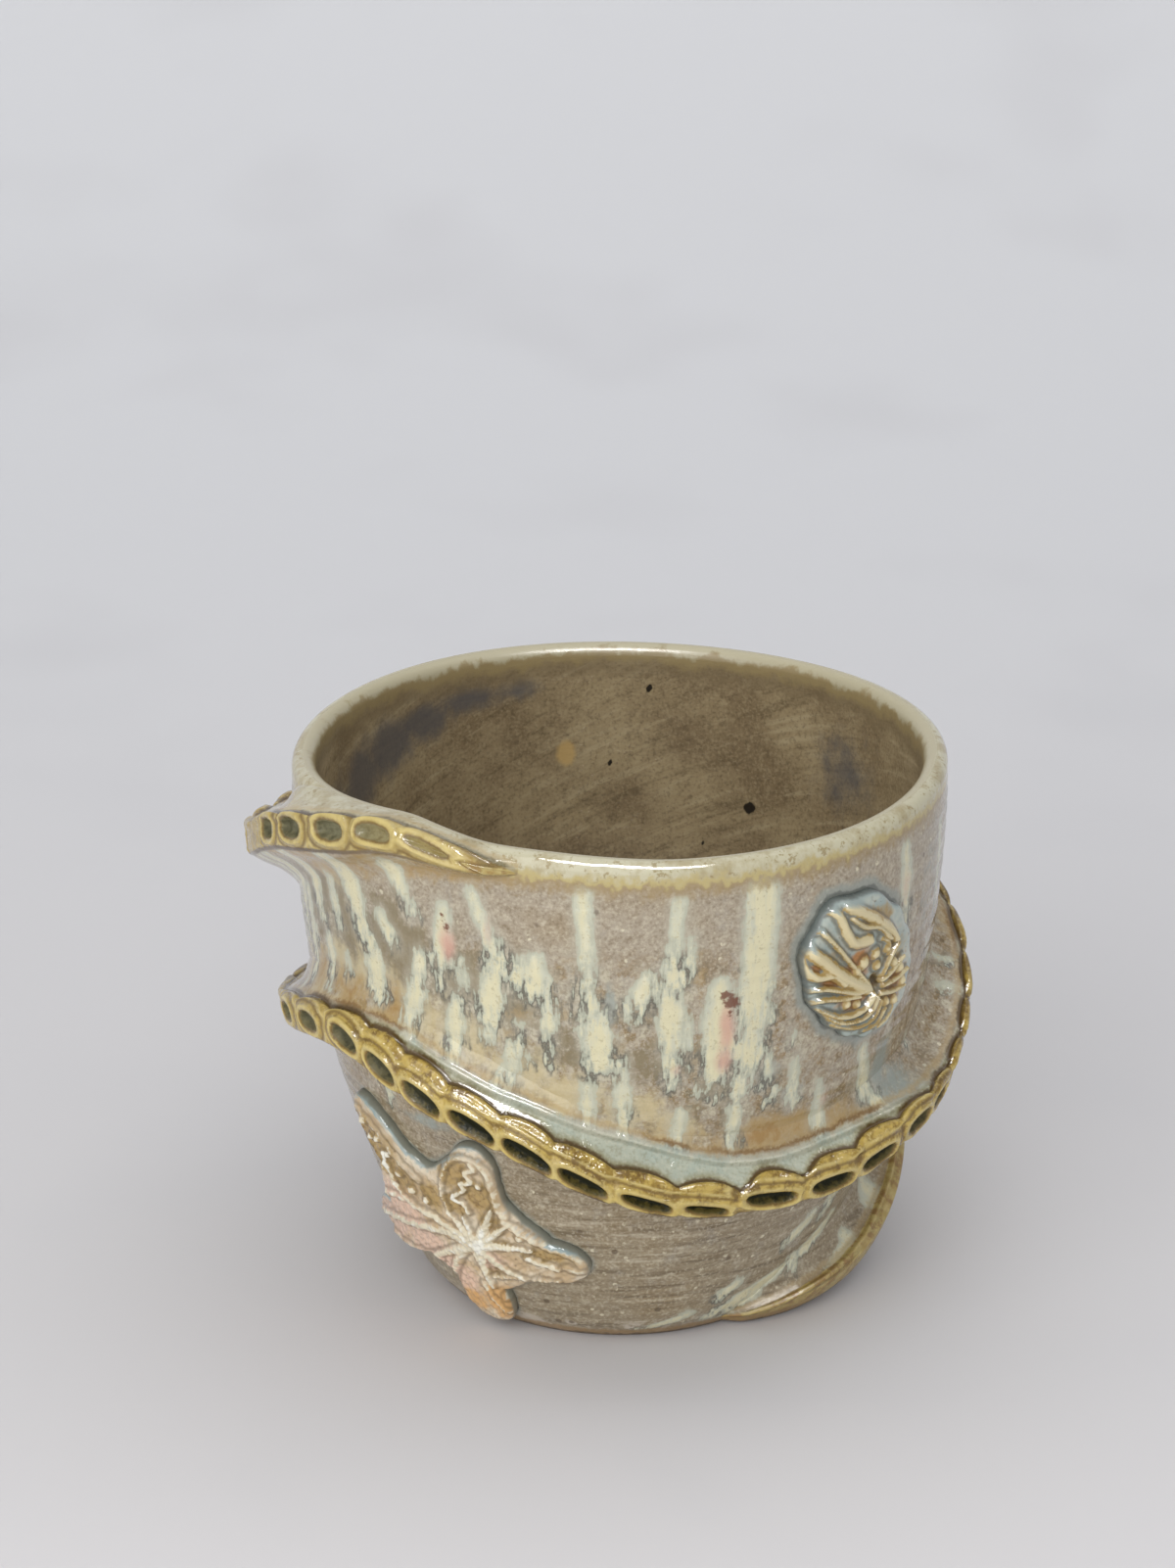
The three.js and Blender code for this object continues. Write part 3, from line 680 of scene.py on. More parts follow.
# %% The pool above the ridge, with a sandy upper edge that is browned where rust bled
def lay_pool(mix, paint):
    mix.keep("gold_edge", mix.plus("gold", fray=0.5, speck=0.3))
    edge = mix.plus("pool", fray=1.3, speck=0.8)
    paint = mix.stripe(paint, (178, 152, 100), edge, -0.9, 0.9, 0.5)
    browned = mix.times(mix.band(mix.plus(edge, patch=2.0), -0.6, 0.75), mix.step("rust_and_shade", 0.1, 0.5))
    paint = mix.paint(paint, (118, 86, 44), mix.times(browned, 0.8))
    pool = mix.coat((204, 202, 182), (180, 185, 166), edge, 0.0, 1.6)
    pool = mix.coat(pool, (166, 180, 168), "patch", -0.04, 0.16, 0.7)
    pool = mix.coat(pool, (142, 132, 84), "gold_edge", -1.9, -0.4, 0.85)
    pool = sprinkle(mix, pool, (138, 132, 104), (202, 200, 178), 0.3)
    return mix.coat(paint, pool, edge, -0.7, 0.5, 0.95)


# %% The ridge's own ochre: a dark seam above it that is partly painted shade, mottles, and arcs round each cut, with painted highlights and painted shade
def lay_ochre(mix, paint):
    # The seam is dark brown glaze, and also painted shade under the step down from the ochre to the pool
    seam_and_shade = mix.times(mix.step("gold_edge", -1.0, -0.4), mix.step("pit", 0.0, 0.4, 0.25, 0.95))
    paint = mix.paint(paint, (84, 62, 28), seam_and_shade)
    ochre = mix.coat((150, 122, 52), (192, 165, 86), mix.plus("grit", fray=0.7), -0.15, 0.12)
    ochre = mix.coat(ochre, (106, 78, 30), "mottle", 0.0, 0.14, 0.85)
    ochre = mix.coat(ochre, (214, 192, 122), mix.plus("grit", speck=0.8), -0.08, -0.24, 0.6)
    ochre = mix.coat(ochre, (182, 138, 72), "patch", -0.04, 0.12, 0.7, mix.step("pit", 0.2, 0.0))
    pale = mix.coat((188, 171, 114), (160, 138, 80), "grit", -0.15, 0.15)
    ochre = mix.coat(ochre, pale, "pit", 0.8, 0.3, 0.75)
    worn = mix.times(mix.step("pit", 0.25, 0.0), mix.step(mix.plus("mottle", grit=0.5), 0.0, 0.12))
    ochre = mix.paint(ochre, (146, 112, 66), mix.times(worn, 0.8))
    cut_edge = mix.keep("cut_edge", mix.plus("facet", fray=0.45, grit=0.3))
    # Painted highlight: a pale stripe on the raised lip round each cut, where the glaze also breaks pale
    ochre = mix.stripe(ochre, (216, 196, 126), cut_edge, -0.6, 0.55, mix.step("fray", 0.2, -0.1, 0.3, 0.85))
    # Painted shade: a dark stripe in the crease at the edge of each cut
    ochre = mix.stripe(ochre, (108, 84, 42), cut_edge, -0.05, 0.3, 0.8)
    # Painted shade: a dark stripe in the valley between the lip and the roll above it
    ochre = mix.stripe(ochre, (110, 86, 40), cut_edge, -1.5, 0.4, 0.75)
    # Painted highlight: a pale stripe along the roll above each cut
    ochre = mix.stripe(ochre, (216, 196, 128), cut_edge, -2.1, 0.4, mix.step("fray", 0.15, -0.1, 0.1, 0.7))
    mix.keep("arcs", mix.sum(mix.band(cut_edge, -2.1, 0.5), mix.band(cut_edge, -0.75, 0.4)))
    return mix.paint(paint, ochre, mix.keep("ochre_share", mix.step("gold_edge", -0.12, 0.2)))


# %% The dark cuts
def lay_cuts(mix, paint):
    dark = mix.coat((88, 78, 38), (32, 33, 17), mix.plus("cut_edge", grit=1.6), 0.05, 0.6)
    pale = mix.coat((142, 138, 108), (108, 104, 76), "grit", -0.1, 0.2)
    share = mix.times(mix.step("cut_edge", -0.1, 0.12), mix.step("pit", 0.0, 0.3))
    return mix.paint(paint, mix.paint(pale, dark, "pit"), mix.keep("cut_share", share))


# %% The lining of the bowl, brushed on aslant, with the rim's shadow painted on it
def lay_lining(mix, paint):
    brush = mix.noise(1.4, (12, 12, 1), 3, 0.65, turn=(0, -0.44, 0), seed=0.03)
    liner = mix.coat((134, 116, 87), (168, 150, 115), "cloud", -0.2, 0.2)
    liner = mix.coat(liner, (180, 164, 130), mix.plus(brush, cloud=0.3), 0.04, 0.2, 0.7)
    liner = mix.coat(liner, (104, 89, 64), brush, -0.02, -0.18, 0.5)
    liner = sprinkle(mix, liner, (88, 74, 52), (178, 162, 128), 0.35)
    # Painted shadow of the rim on the lining, in a slaty tone, over glaze that is smeared there
    liner = mix.coat(liner, (92, 90, 90), mix.plus("smear", fray=0.5, patch=0.6), 0.2, 0.8, 0.85)
    liner = mix.coat(liner, (198, 166, 106), mix.plus("spot", fray=0.4), 0.35, 0.75, 0.8)
    liner = mix.coat(liner, (34, 28, 20), "hole", 0.45, 0.6)
    near_rim = mix.plus(1.2, below_rim=-1.0, patch=4.5, grit=1.6)
    liner = mix.coat(liner, (122, 106, 78), near_rim, -4.8, -2.6, 0.6)
    liner = mix.coat(liner, (156, 138, 96), near_rim, -2.4, -0.8, 0.85)
    liner = mix.coat(liner, (186, 178, 148), near_rim, -0.4, 0.6, 0.9)
    return mix.paint(paint, liner, "lining")


# %% The line that the glaze leaves at the foot, a dark band under it that is partly painted shadow where the foot turns under, and the raw clay under it
def lay_foot(mix, paint):
    height = mix.plus("level", grit=0.002)
    paint = mix.coat(paint, (152, 122, 80), height, 0.0028, 0.0018, 0.85)
    # Painted shadow where the foot turns under onto the cloth, over the dark edge of the glaze
    paint = mix.coat(paint, (98, 78, 50), height, 0.0014, 0.0008, 0.9)
    return mix.paint(paint, (164, 136, 98), "raw")


# %% Put the recipe together
def mix_glaze(name):
    mix = Palette(name)
    mix_grains(mix)
    paint = lay_ground(mix)
    for lay in (lay_stains, lay_runs, lay_rim, lay_pool, lay_ochre, lay_cuts, lay_lining, lay_foot):
        paint = lay(mix, paint)
    height = mix.plus(mix.times("speck", 0.015), grit=0.05, lines=0.1, cream_share=0.08, fray=0.05)
    height = mix.sum(height, mix.band("pool", 0.5, 0.8), 0.9)
    beaten = mix.times(mix.plus("grit", arcs=0.9, mottle=1.2), "ochre_share")
    rough = mix.plus(mix.step("speck", -0.3, 0.3, 0.06, 0.14), lining=0.22, cut_share=0.3)
    rough = mix.sum(rough, mix.step("level", 0.03, 0.012), 0.25)
    gloss = mix.plus(0.5, cut_share=-0.35)
    return mix.finish(paint, mix.sum(height, beaten, 0.28), mix.plus(rough, raw=0.5), gloss)


cup_glaze = mix_glaze("cup_glaze")
print("glaze nodes:", len(cup_glaze.node_tree.nodes))

# %% [markdown]
# ## The thrown body
# On the wheel a pot is a line turned round an axis. Half of the cup's section is drawn: up the foot
# and the outer wall, over the round lip, down the inner wall and across the floor to the middle. A
# sheet with one column for each of its points is wrapped once round the axis.

# %% Draw half a section
def body_line():
    """Radius and height along the section, from under the foot to the middle of the floor"""
    under = spline([[0, 1.1], [9, 1.1], [17.4, 1], [19.4, 0.3], [20.4, 0], [24.5, 0], [25.2, 0.25]], 18)
    outer_height = np.arange(0.7, CUP_HEIGHT - LIP, 0.5)
    outer = np.stack([wall_radius(outer_height), outer_height], axis=1)
    turn = np.linspace(0, math.pi, 13)
    lip = np.stack([RIM_RADIUS - LIP + LIP * np.cos(turn), CUP_HEIGHT - LIP + LIP * np.sin(turn)], axis=1)
    inner_height = np.arange(CUP_HEIGHT - LIP - 1, 9, -1.3)
    inner = np.stack([wall_radius(inner_height) - WALL_THICKNESS * np.hypot(1, wall_slope(inner_height)),
                      inner_height], axis=1)
    corner = inner[-1]
    to_floor = [corner - [1.7, 2], corner - [4.6, 3.9], [18, 4.6], [11, 4.5], [4, 4.7], [0, 5]]
    floor = spline([corner, *to_floor], 22)
    return np.concatenate([under, outer, lip, inner, floor[1:]])


line = body_line()
print("points on the section:", len(line))

# What marks the lining, as spots: a slaty, smeared band that is partly the rim's painted shadow, a warm spot,
# and pinholes
LINING_MARKS = {
    "smear": [[152, 66, 6, 5, 0.9], [143, 68.5, 6, 4, 0.95], [133, 70.5, 6, 3, 0.9], [122, 72, 6, 2.2, 0.85],
              [111, 72.6, 5, 1.8, 0.7], [161, 61, 7, 8, 0.8], [168, 53, 8, 8, 0.6], [38, 64, 8, 7, 0.6]],
    "spot": [[101, 62, 1.7, 1.9, 1]],
    "hole": [[62, 55, 1.1, 1.1, 1], [72, 49, 0.6, 0.6, 1], [84, 72, 0.6, 0.6, 1], [92, 60, 0.6, 0.6, 0.9]]}
# Rows of the sheet, one for each degree round the cup
TURNS = 360


# %% Throw the body
def throw_body():
    mesh, row, column = make_sheet("thrown_body", TURNS, len(line) - 1)
    bearing = row * 360 / TURNS
    radius, height = line[column].T
    outside = radius > wall_radius(height) - LIP
    ring = 0.05 * np.sin(height * 2.7 + bearing * DEGREE) + 0.04 * np.sin(height * 5.9 + 2 * bearing * DEGREE)
    fade = smoothstep(0, 4, height) * smoothstep(0, 6, CUP_HEIGHT - height) * outside
    points = settle(around(bearing, radius + ring * fade, height))
    bowl = (~outside) & (height > 1.5)
    marks = {**NO_MARKS, **glaze_marks(points), "lining": bowl, "raw": smoothstep(0.5, 0.15, height)}
    for name, spots in LINING_MARKS.items():
        marks[name] = spots_on_wall(bearing, height, spots) * bowl
    set_points(mesh, points * MM)
    write_marks(mesh, marks)
    finish_piece("thrown_body", mesh, "cup_body", cup_glaze)


throw_body()

# %% [markdown]
# ## The climbing ridge
# A coil is a sheet whose one side runs along the route and whose other side runs once round the
# section, from the buried back, under the ridge, over its cut face and up the smoothed flare. What is
# left to shape are the cuts. `cut_field` measures how deep a point lies in the nearest cut, which
# presses the clay in there and raises a lip round it. Above them the ochre ends in scallops, one over
# each cut, and above that lies the pool.

# %% The coil's section, its cuts, and the lines of its glaze
# Share of the reach, and the place over the height: -1 to 1 is the face, beyond it is smoothed clay
SECTION = [
    [-0.08, 0], [-0.08, -1], [-0.08, -2.05], [0.02, -1.95], [0.14, -1.75], [0.38, -1.5], [0.7, -1.3],
    [0.92, -1.12], [1, -0.95], [1.01, -0.5], [1.01, 0], [1, 0.5], [0.98, 0.9], [0.93, 1.03],
    [0.85, 1.07], [0.74, 1.12], [0.6, 1.19], [0.45, 1.28], [0.3, 1.41], [0.17, 1.6], [0.08, 1.8],
    [0, 1.95], [-0.08, 2.08], [-0.08, 1], [-0.08, 0]]
ROUND = 4 * (len(SECTION) - 1)
MIDDLE = 4 * SECTION.index([1.01, 0])
section = spline(SECTION, ROUND)

# The cuts that the photograph shows: bearing, half length, half height, and height over the face's
# middle, in millimetres
RIM_CUTS = [[238.6, 3.2, 0.8, 0.3], [228.7, 2.8, 1.25, 0.3], [219.2, 2.8, 1.35, 0.3], [208.6, 2.7, 1.4, 0.3],
            [199.5, 2.2, 1.4, 0.1]]
WAIST_CUTS = [[3.5, 3, 1.5, -0.3], [-3.8, 2.5, 1.5, -0.4], [-11.2, 3, 1.4, -0.4], [-19, 2.5, 1.3, -0.5],
              [-27.2, 3, 1.3, -0.5], [-38.3, 3.3, 1.25, -0.9], [-49.2, 3.5, 1.2, -0.8],
              [-62.2, 3.8, 1, -0.5], [-74.6, 3, 0.7, -1.5], [-85.4, 3.5, 0.9, -1.2],
              [-96.2, 3.5, 1.25, -1], [-105.3, 3.5, 1.4, -0.8], [-114.7, 3.3, 1.5, -0.7],
              [-124, 3, 1.6, -0.5], [-132.5, 2.6, 1.55, -0.1], [-141.2, 2.6, 1.45, 0.5],
              [-152.3, 2.6, 1.35, 0.1], [-162.8, 2.4, 1.35, 0.3]]
CUT_DEPTH, CUT_SQUARENESS, CUT_SPACING, GOLD_BELOW = 1.0, 2.4, 9.2, 2.5


def scatter_cuts(seed, first, last):
    """Cuts for the lengths of ridge that the photograph doesn't show"""
    draw = random.Random(seed)
    count = round((first - last) / CUT_SPACING)
    places = [first - (index + 0.5) * (first - last) / count for index in range(count)]
    return [[place + draw.uniform(-0.7, 0.7), draw.uniform(2.7, 3.4), draw.uniform(1.2, 1.9),
             draw.uniform(-0.7, 0.3)] for place in places]


rim_cuts = RIM_CUTS + scatter_cuts(1, 184, 97)
waist_cuts = scatter_cuts(2, 95, 8) + WAIST_CUTS + scatter_cuts(3, -180, -263)
foot_cuts = scatter_cuts(5, -265, -338)

# By bearing along the whole ridge: how far over the face's middle the ochre reaches above a cut, how
# much lower it ends between two cuts, how far up the pool reaches, and how dark the cuts are
GLAZE_LINES = [
    [255, -1.6, 0, -1.2, 0.1], [251, 0.2, 0, 0.4, 0.1], [246, 1.7, 0.1, 1.9, 0.1], [238, 2.8, 0.3, 3, 0.12],
    [228, 3, 0.4, 3.2, 0.2], [218, 2.7, 0.4, 3, 0.3], [207, 2.5, 0.4, 2.8, 0.45], [190, 2.6, 0.5, 3, 0.5],
    [150, 2.8, 0.6, 3.4, 0.9], [96, 3, 0.7, 3.6, 0.9], [20, 3, 0.8, 3.2, 0.9], [0, 2.8, 0.9, 2.8, 0.85],
    [-15, 2.9, 0.9, 3.2, 0.8], [-24, 3.2, 1, 3.8, 0.8], [-30, 3.7, 1, 4.8, 0.9],
    [-41, 4.6, 1.1, 6.3, 1], [-49, 4.1, 1.7, 6.7, 1],
    [-58, 4.1, 2.6, 6.2, 1], [-62, 4.2, 2.8, 6.2, 1], [-70, 3.6, 2.6, 6.4, 1], [-75, 3.3, 1.8, 7, 1],
    [-82, 3.8, 1.4, 8, 1], [-89, 4.2, 0.9, 8.4, 1], [-96, 4.4, 0.8, 7.9, 1], [-104, 4.7, 0.8, 7.2, 1],
    [-112, 4.3, 0.8, 6.4, 1], [-120, 4.9, 0.8, 6.6, 1], [-128, 5.3, 0.8, 6.7, 0.85], [-136, 5, 0.8, 5.6, 0.7],
    [-147, 4.2, 0.8, 4, 0.6], [-165, 3.8, 0.7, 3.8, 0.5], [-182, 3.4, 0.7, 3.6, 0.6],
    [-220, 3, 0.7, 4, 0.9], [-264, 2.8, 0.7, 3.6, 0.9], [-320, 3.2, 0.4, 3.2, 0.5], [-345, 4.2, 0.2, 3.8, 0],
    [-370, 4.6, 0.1, 4.2, 0], [-400, 3.4, 0, 3, 0], [-412, 1.8, 0, 1.6, 0], [-420, 0.4, 0, 0.3, 0]]


def coil_points(bearing):
    """The plain coil, one row for each bearing, and how full it has grown there"""
    bearing = bearing[:, None]
    out, up = section.T
    grown = np.minimum(1, THIN_END + read_soft(ROUTE, bearing, 2) / FULL_FACE)
    smoothed = np.where(up > 0, read_soft(SMOOTHING, bearing, 1) - 0.5, read_soft(SMOOTHING, bearing, 2))
    past = np.maximum(np.abs(up) - 1, 0) * smoothed * RIDGE_FACE * grown ** 2
    rise = np.sign(up) * (np.minimum(np.abs(up), 1) * RIDGE_FACE / 2 * grown + past)
    height = np.maximum(read_soft(ROUTE, bearing, 1) * CUP_HEIGHT + rise, 0.5)
    turn = np.clip((height - CUP_HEIGHT + LIP) / LIP, 0, math.pi / 2)
    radius = wall_radius(np.minimum(height, CUP_HEIGHT)) - LIP * (1 - np.cos(turn))
    buried = 0.3 * smoothstep(0.1, -0.05, out) * np.sin(turn)
    height = np.minimum(height, CUP_HEIGHT - LIP) + LIP * np.sin(turn) - buried
    ends = smoothstep(0, 7, np.minimum(ROUTE[0][0] - bearing, bearing - ROUTE[-1][0]))
    radius = radius + out * read_soft(ROUTE, bearing, 2) * RIDGE_REACH * ends - 0.2 * (1 - ends)
    return around(bearing + 0 * radius, radius, height), grown


def run_length(points, axis):
    step = np.linalg.norm(np.diff(points, axis=axis), axis=-1)
    return np.concatenate([np.zeros_like(np.take(step, [0], axis)), np.cumsum(step, axis)], axis)


def cut_field(along, up, places, cuts, grown):
    """How deep a point lies in the nearest cut, in millimetres. Below zero it is outside."""
    depth = np.full(up.shape, OUTSIDE)
    for place, (_, long, tall, above) in zip(places, cuts):
        lean = 0.1 * (along - place)
        across = np.abs((along - place) / long)
        upward = np.abs((up - above * grown - lean) / tall / grown)
        size = (across ** CUT_SQUARENESS + upward ** CUT_SQUARENESS) ** (1 / CUT_SQUARENESS) + 1e-6
        steep = np.hypot(across ** (CUT_SQUARENESS - 1) / long, upward ** (CUT_SQUARENESS - 1) / tall / grown)
        steep = np.maximum(steep * size ** (1 - CUT_SQUARENESS), 1e-6)
        depth = np.maximum(depth, np.minimum((1 - size) / steep, 1.4))
    return depth


# %% The skin of a coil
def coil_skin(bearing, up, depth, between, grown):
    """How far the cut and glazed skin stands off the plain coil, and the marks of its glaze"""
    top, dip, pool_top, dark = (read_soft(GLAZE_LINES, bearing[:, None], at, 2) for at in (1, 2, 3, 4))
    top = top - dip * between ** 2
    above = up > 0
    press = CUT_DEPTH * grown * smoothstep(-0.1, 0.6, depth)
    lip = (0.1 + 0.3 * dark) * grown * np.exp(-((depth + 0.55) / 0.45) ** 2) * (np.abs(up) < 5)
    roll = 0.35 * grown * np.exp(-((top - up - 0.7) / 0.55) ** 2) * above
    sunk = 0.4 * grown * smoothstep(0.3, -0.2, top - up)
    sunk = sunk * smoothstep(pool_top + 0.8, pool_top - 1, up) * above
    bead = 0.35 * grown * np.exp(-((up - pool_top + 0.5) / 0.45) ** 2)
    bead = bead * smoothstep(0.6, 1.6, pool_top - top)
    notch = 0.4 * grown * between ** 6 * smoothstep(top + 1, top - 1, up) * smoothstep(0, 1.5, up)
    marks = {"gold": np.minimum(top - up, GOLD_BELOW * grown + up), "facet": depth,
             "pool": np.where(above, pool_top - up, OUTSIDE), "pit": dark + 0 * up}
    return lip + roll + bead * above - press - sunk - notch, marks


# %% Roll out, wrap and cut a coil
DEGREES_A_ROW = 0.6


def make_coil(name, node, first, last, cuts):
    rows = int(abs(first - last) / DEGREES_A_ROW)
    mesh, row, column = make_sheet(name, rows, ROUND)
    bearing = np.linspace(first, last, rows + 1)
    points, grown = coil_points(bearing)
    along = run_length(points[:, MIDDLE], 0)[:, None]
    up = run_length(points, 1)
    up = up - up[:, MIDDLE:MIDDLE + 1]
    places = [float(np.interp(-cut[0], -bearing, along[:, 0])) for cut in cuts]
    which = np.interp(along, places, np.arange(len(places)))
    between = 2 * np.abs(which - np.rint(which))
    off, skin = coil_skin(bearing, up, cut_field(along, up, places, cuts, grown), between, grown)
    set_points(mesh, points[row, column])
    moved = off[row, column][:, None] * get_normals(mesh) * outward(mesh)
    settled = settle(get_points(mesh) + moved)
    skin = {key: value[row, column] for key, value in skin.items()}
    set_points(mesh, settled * MM)
    write_marks(mesh, {**NO_MARKS, **glaze_marks(settled), **skin})
    finish_piece(name, mesh, node, ridge_glaze)


def outward(mesh):
    """1 where the mesh's normals point away from the cup's axis on the whole, -1 where they don't"""
    points, normals = get_points(mesh), get_normals(mesh)
    far = np.hypot(points[:, 0], points[:, 1])
    outer = far > np.percentile(far, 80)
    return np.sign(np.sum(points[outer, :2] * normals[outer, :2]))


ridge_glaze = mix_glaze("ridge_glaze")
make_coil("rim_coil", "rim_ridge", 255, 96, rim_cuts)
make_coil("waist_coil", "waist_ridge", 96, -264, waist_cuts)
make_coil("foot_coil", "foot_ridge", -264, -420, foot_cuts)

# %% [markdown]
# ## Pressed reliefs
# Both reliefs are sprigs: clay pressed into a mould and stuck on. Each is a round sheet whose outline
# follows the functions above, and whose front carries raised ribs. A rib is a smooth line through a
# few points of the plan, with a half width at each end, and a height. The sprig is bent onto the
# wall by length along it, so that it keeps its size, and its back lies a little inside the wall.

# %% Ribs, domes and bending
# How far the back of a relief lies inside the wall
BACK_INSIDE = 0.25


def rib_field(across, up, ribs, knobs):
    """Height of the ribs and knobs at a point, and how far it lies from the side of the nearest one"""
    raised, side = np.zeros(across.shape), np.full(across.shape, 9.0)
    for points, start, end, tall in ribs + [[[knob[:2]] * 2, knob[2], knob[2], 1] for knob in knobs]:
        path = spline(points, 8 * (len(points) - 1))
        away = np.hypot(across[:, None] - path[:, 0], up[:, None] - path[:, 1])
        wide = (start + (end - start) * np.argmin(away, axis=1) / (len(path) - 1))
        away = away.min(axis=1)
        raised = np.maximum(raised, tall * np.exp(-(away / wide) ** 2))
        side = np.minimum(side, away - wide)
    return raised, side


def dome(rim_dist, rounded, thickness, low, swell):
    """How near a point is to the rounded edge, from 0 to 1, and how high the plain relief stands there"""
    edge = np.clip(rim_dist / rounded, 0, 1)
    return edge, thickness * (low + swell * np.sqrt(1 - (1 - edge) ** 2))


def relief_marks(across, up, raised, side, rim_dist, tinted):
    tints = {name: strongest_spot(spots, lambda x: across - x, up) for name, spots in tinted.items()}
    return {"crest": raised, "side": side, "rim_dist": rim_dist, **tints}


def bend_on_wall(across, up, off, bearing, height):
    """Points on the wall from a plan in millimetres, standing off it square to its slope"""
    level = np.interp(along_wall(height) + up, wall_length, wall[:, 1])
    turn = across / wall_radius(level) / DEGREE
    slope = wall_slope(level)
    lean = np.hypot(1, slope)
    height = np.maximum(level - off * slope / lean, 0.3)
    return around(bearing + turn, wall_radius(level) + off / lean, height)


def make_sprig(name, node, material, spokes, rings, edge_at, relief_at, pole, bearing, height):
    shares = np.concatenate([np.linspace(0, 1, rings), [0.8, 0.5, 0.25, 0]])
    mesh, row, column = make_sheet(name, spokes, len(shares) - 1)
    share, direction = shares[column], row / spokes * 2 * math.pi
    reach = share * edge_at(direction)
    across, up = pole[0] + reach * np.cos(direction), pole[1] + reach * np.sin(direction)
    relief, marks = relief_at(across, up, (1 - share) * edge_at(direction))
    off = np.where(column < rings - 1, relief, -BACK_INSIDE)
    settled = settle(bend_on_wall(across, up, off, bearing, height))
    set_points(mesh, settled * MM)
    write_marks(mesh, marks)
    finish_piece(name, mesh, node, material)


# %% [markdown]
# ### The starfish
# The ribs are the borders of the arms, the bent midribs, and the rays that burst from the middle.

# %% The starfish
STAR_RIBS = [
    [[(-17, 17.2), (-13.6, 15.8), (-10.4, 13), (-8, 11), (-6, 9.8)], 0.9, 0.9, 0.5],
    [[(-12.4, 11.6), (-11.2, 6.8), (-8.7, 4.3), (-6, 3.8), (-4.2, 3.7), (-1, 2.4)], 0.5, 0.9, 0.8],
    [[(-1.2, 5.9), (-1.6, 9.2), (-0.6, 13), (0.8, 15.4), (3.2, 16.8), (5.4, 16.4)], 0.45, 0.45, 0.6],
    [[(5.4, 16.4), (6.5, 14.8), (6.8, 12), (6.9, 9.6), (7.4, 7.6)], 0.6, 0.8, 0.6],
    [[(4.4, 16), (4.7, 15.2), (3.2, 14.2), (4, 12.9), (2.1, 12.1), (2.5, 11.2), (0.3, 9.1), (1.8, 8.4),
      (2.3, 7)], 0.5, 0.4, 0.8],
    [[(2.2, 0.8), (4.4, 5.2), (6, 8.6)], 1.2, 0.25, 1], [[(2.2, 0.8), (5, 3.6), (7.4, 5.8)], 1.2, 0.25, 1],
    [[(2.2, 0.8), (6, 1.8), (10.3, 2.2)], 1.2, 0.3, 1],
    [[(1.6, 1), (0.4, 3.6), (-1.2, 5.9)], 1.2, 0.3, 0.9],
    [[(1.6, 1), (-1.4, 2.6), (-4.2, 3.7)], 1.3, 0.4, 0.9],
    [[(1.8, 1), (1.6, 3.6), (1.2, 5.9)], 1.1, 0.25, 0.9],
    [[(1.6, 0.4), (-2.6, -2), (-7, -5)], 1.2, 0.5, 0.8], [[(1.8, 0), (2, -3.6), (2.5, -7)], 1.2, 0.5, 0.8],
    [[(2.2, 0), (5.2, -2.6), (8, -4)], 1.2, 0.4, 0.8],
    [[(7.4, 6.6), (10.4, 4.2), (12.6, 3), (15.2, 2), (16.6, 0)], 0.8, 0.7, 0.6],
    [[(9.4, 0.2), (11, -0.2), (13, -0.9)], 0.8, 0.6, 0.7], [[(14.4, -0.6), (16.2, -1.4)], 0.8, 0.6, 0.6],
    [[(3.4, -4.8), (7.1, -4), (12.6, -3.5)], 0.5, 0.4, 0.6],
    [[(1.2, -7), (2, -10), (3.4, -12.4)], 0.7, 0.5, 0.6],
    [[(6, -8), (6.2, -10.4), (4.8, -12.6)], 0.5, 0.5, 0.6],
    [[(0, 0.6), (-3, 1.6), (-9, 0), (-16, -2), (-21, -4)], 1.2, 0.7, 0.8],
    [[(-8, 4.6), (-13, 3.8), (-18, 2)], 0.7, 0.7, 0.7],
    [[(-6, -5), (-13, -6.6), (-19, -7)], 0.8, 0.6, 0.6],
    [[(-0.6, -1), (-3, -5), (-4.5, -9.6)], 0.9, 0.5, 0.7],
    [[(-13, 8), (-15.6, 9.6), (-17.6, 12.4)], 0.5, 0.5, 0.5]]
# Small knobs: across, up and radius
STAR_KNOBS = [
    [2, 0.8, 2], [-16, 15.8, 0.7], [-14.6, 13.6, 0.6], [-12.9, 14, 0.6], [-11.2, 12, 0.6],
    [-12.4, 10, 0.6], [-9.6, 9.2, 0.7], [-7.6, 7.2, 0.7], [4.4, -9, 1.1], [-5, 6.4, 0.6], [4.8, 12.4, 0.6],
    [9, 4, 0.6]]
# Spots of colour: across, up, half width, half height and strength
STAR_SPOTS = {
    "ochre": [[-17, 13.5, 4, 3.4, 1], [-13, 11.5, 3.5, 3.5, 1], [-9.5, 8, 3, 2.5, 0.9],
              [1, 13.5, 2.6, 3.4, 0.9], [4.2, 10.5, 2.4, 3, 0.9], [0.2, 7.6, 2, 2, 0.8],
              [5, 6.2, 2.2, 1.6, 0.7], [12, 1.2, 4, 1.6, 0.7], [-4, 7.6, 2, 2.6, 0.8], [6.4, 2.2, 2, 1, 0.6],
              [3.6, -3, 1.8, 1.8, 0.7]],
    "flush": [[-13, 1, 6, 5, 0.9], [-18, -2, 6, 5, 0.9], [-8, -4, 4, 4, 0.9], [-4, -8, 4, 4, 0.9],
              [3.4, -1.8, 2.4, 2, 0.7]],
    "orange": [[3.6, -10.4, 3.2, 3.6, 1], [-2, -11.5, 3, 2.4, 0.7]]}


